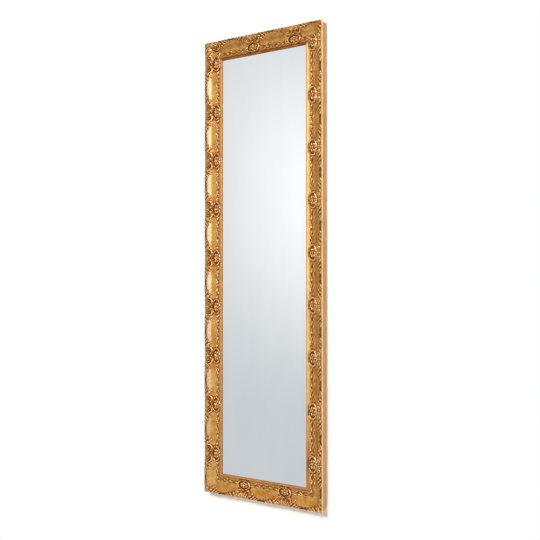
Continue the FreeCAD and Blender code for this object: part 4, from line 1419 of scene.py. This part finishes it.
def stage_plane(name, corners, material):
    """A flat stage piece."""
    mesh = bpy.data.meshes.new(name)
    mesh.from_pydata(corners, [], [range(len(corners))])
    mesh.materials.append(material)
    item = linked(bpy.data.objects.new(name, mesh))
    return item


def set_wall(colours):
    """A matt painted wall, which casts no shadow and is clear from behind."""
    f = Finish("painted_wall")
    roller = f.bump(f.noise(f.place(), scale=300.0, detail=2.0), distance=0.0001, strength=0.3)
    paint = f.node("ShaderNodeBsdfDiffuse", None, {"Color": colours.wall, "Normal": roller})
    glow = f.node("ShaderNodeEmission", None, {"Strength": f.seen() * WALL_GLOW})
    paint = f.node("ShaderNodeAddShader", None, {"Shader": paint, "Shader_001": glow})
    wide, high = (f.axis(f.place(), name).size() for name in "XZ")
    near = (1 - wide.between(*WALL_FADE_WIDE)) * (1 - high.between(*WALL_FADE_HIGH))
    white = f.node("ShaderNodeEmission", None, {"Color": WHITE, "Strength": 1.0})
    paint = f.mixed(f.seen() * (1 - near), paint, white)
    behind = f.node("ShaderNodeNewGeometry", output="Backfacing")
    f.out(f.mixed(behind, paint, f.node("ShaderNodeBsdfTransparent")))
    x, back, low, top = WALL_HALF_WIDTH, CAD_HIGH.y + WALL_CLEARANCE, FLOOR_LEVEL, WALL_TOP
    corners = [(-x, back, low), (x, back, low), (x, back, top), (-x, back, top)]
    stage_plane("wall", corners, f.material).visible_shadow = False


def set_floor(colours):
    """A plain floor, which fades out before its edge."""
    f = Finish("pale_floor")
    paint = f.node("ShaderNodeBsdfDiffuse", None, {"Color": colours.floor, "Roughness": 0.5})
    far = f.node("ShaderNodeVectorMath", {"operation": "LENGTH"}, {"Vector": f.place()}, "Value")
    fade = far.between(FLOOR_REACH * FLOOR_FADE, FLOOR_REACH)
    f.out(f.mixed(fade, paint, f.node("ShaderNodeBsdfTransparent")))
    half, low = FLOOR_REACH, FLOOR_LEVEL
    corners = [(-half, -half, low), (half, -half, low), (half, half, low), (-half, half, low)]
    stage_plane("floor", corners, f.material)


def set_room(colours):
    """The room for what the camera sees in a gloss, an even light for the rest, and a plain backdrop."""
    world = bpy.data.worlds.new("studio")
    world.use_nodes = True
    bpy.context.scene.world = world
    f = Finish("studio", world.node_tree)
    aim = f.node("ShaderNodeTexCoord", output="Generated")
    wide, high = (f.axis(aim, name) * 0.5 + 0.5 for name in "XZ")
    panel = f.level(high, PANEL_HEIGHTS) * f.level(wide, PANEL_TURNS)
    dim = f.level(high, ROOM_HEIGHTS) * f.level(wide, ROOM_TURNS)
    tone = f.node("ShaderNodeValToRGB", {"stops": ROOM_TONES}, {"Fac": high})
    room = f.blend(panel, f.blend(dim, BLACK, tone), WHITE)
    glow = f.node("ShaderNodeBackground", None, {"Color": room, "Strength": 1.0})
    ambient = f.node("ShaderNodeBackground", None, {"Color": WHITE, "Strength": AMBIENT})
    plain = f.node("ShaderNodeBackground", None, {"Color": colours.floor, "Strength": 1.0})
    shader = f.mixed(f.seen(), f.mixed(f.direct(), ambient, glow), plain)
    f.node("ShaderNodeOutputWorld", None, {"Surface": shader})


def soft_light(name, place, size, power):
    """A studio lamp that points at the origin, its width and height in metres."""
    lamp = bpy.data.lights.new(name, "AREA")
    lamp.shape, lamp.energy = "RECTANGLE", power
    lamp.size, lamp.size_y = size
    item = linked(bpy.data.objects.new(name, lamp))
    item.location = place
    item.rotation_euler = (-Vector(place)).to_track_quat("-Z", "Y").to_euler()
    return item


def set_lamps(view):
    """A key light in front, one behind, and two that show only as glints on the gold."""
    soft_light("key", KEY_PLACE, KEY_SIZE, view.key).visible_glossy = False
    for lamp in (
        soft_light("fill", FILL_PLACE, FILL_SIZE, view.fill),
        soft_light("high", HIGH_PLACE, HIGH_SIZE, view.glint),
    ):
        lamp.data.use_shadow = False
        lamp.visible_diffuse = False
    soft_light("rear", REAR_PLACE, REAR_SIZE, view.key * REAR_SHARE)


def set_camera(view):
    """The camera of the main view."""
    data = bpy.data.cameras.new("camera")
    data.lens, data.sensor_width = view.lens, SENSOR_WIDTH
    camera = linked(bpy.data.objects.new("camera", data))
    camera.location = view.place
    camera.rotation_euler = (math.radians(90) + view.pitch, 0, view.yaw)
    bpy.context.scene.camera = camera


class MIRROR_OT_stage(bpy.types.Operator):
    """Set up the wall, the floor, the studio light and the camera"""

    bl_idname = "mirror.stage"
    bl_label = "Stage"

    def execute(self, context):
        scene = context.scene
        for setting in (set_wall, set_floor, set_room):
            setting(scene.mirror_colours)
        for setting in (set_lamps, set_camera):
            setting(scene.mirror_view)
        scene.view_settings.view_transform = "Standard"
        return {"FINISHED"}


OPERATORS = (
    MIRROR_OT_mouldings, MIRROR_OT_medallions, MIRROR_OT_leaf_sprays, MIRROR_OT_leaf_runs,
    MIRROR_OT_pane, MIRROR_OT_backing, MIRROR_OT_fittings, MIRROR_OT_stage,
)


class MIRROR_PT_panel(bpy.types.Panel):
    """Sizes, colours and pieces of the mirror"""

    bl_idname = "MIRROR_PT_panel"
    bl_label = "Gilded mirror"
    bl_space_type = "VIEW_3D"
    bl_region_type = "UI"
    bl_category = "Mirror"

    def draw(self, context):
        for group in (context.scene.mirror_sizes, context.scene.mirror_colours, context.scene.mirror_view):
            box = self.layout.box()
            for key in group.bl_rna.properties.keys():
                if key not in ("rna_type", "name"):
                    box.prop(group, key)
        for operator in OPERATORS:
            self.layout.operator(operator.bl_idname)


GROUPS = {"mirror_sizes": MirrorSizes, "mirror_colours": MirrorColours, "mirror_view": MirrorView}


def register():
    """Adds the settings, the operators and the panel."""
    for kind in (*GROUPS.values(), *OPERATORS, MIRROR_PT_panel):
        bpy.utils.register_class(kind)
    for key, kind in GROUPS.items():
        setattr(bpy.types.Scene, key, PointerProperty(type=kind))


def unregister():
    """Removes them again."""
    for key in GROUPS:
        delattr(bpy.types.Scene, key)
    for kind in reversed((*GROUPS.values(), *OPERATORS, MIRROR_PT_panel)):
        bpy.utils.unregister_class(kind)


def main():
    """Dresses the mirror, piece by piece."""
    register()
    for operator in OPERATORS:
        group, name = operator.bl_idname.split(".")
        getattr(getattr(bpy.ops, group), name)()


if __name__ == "__main__":
    main()
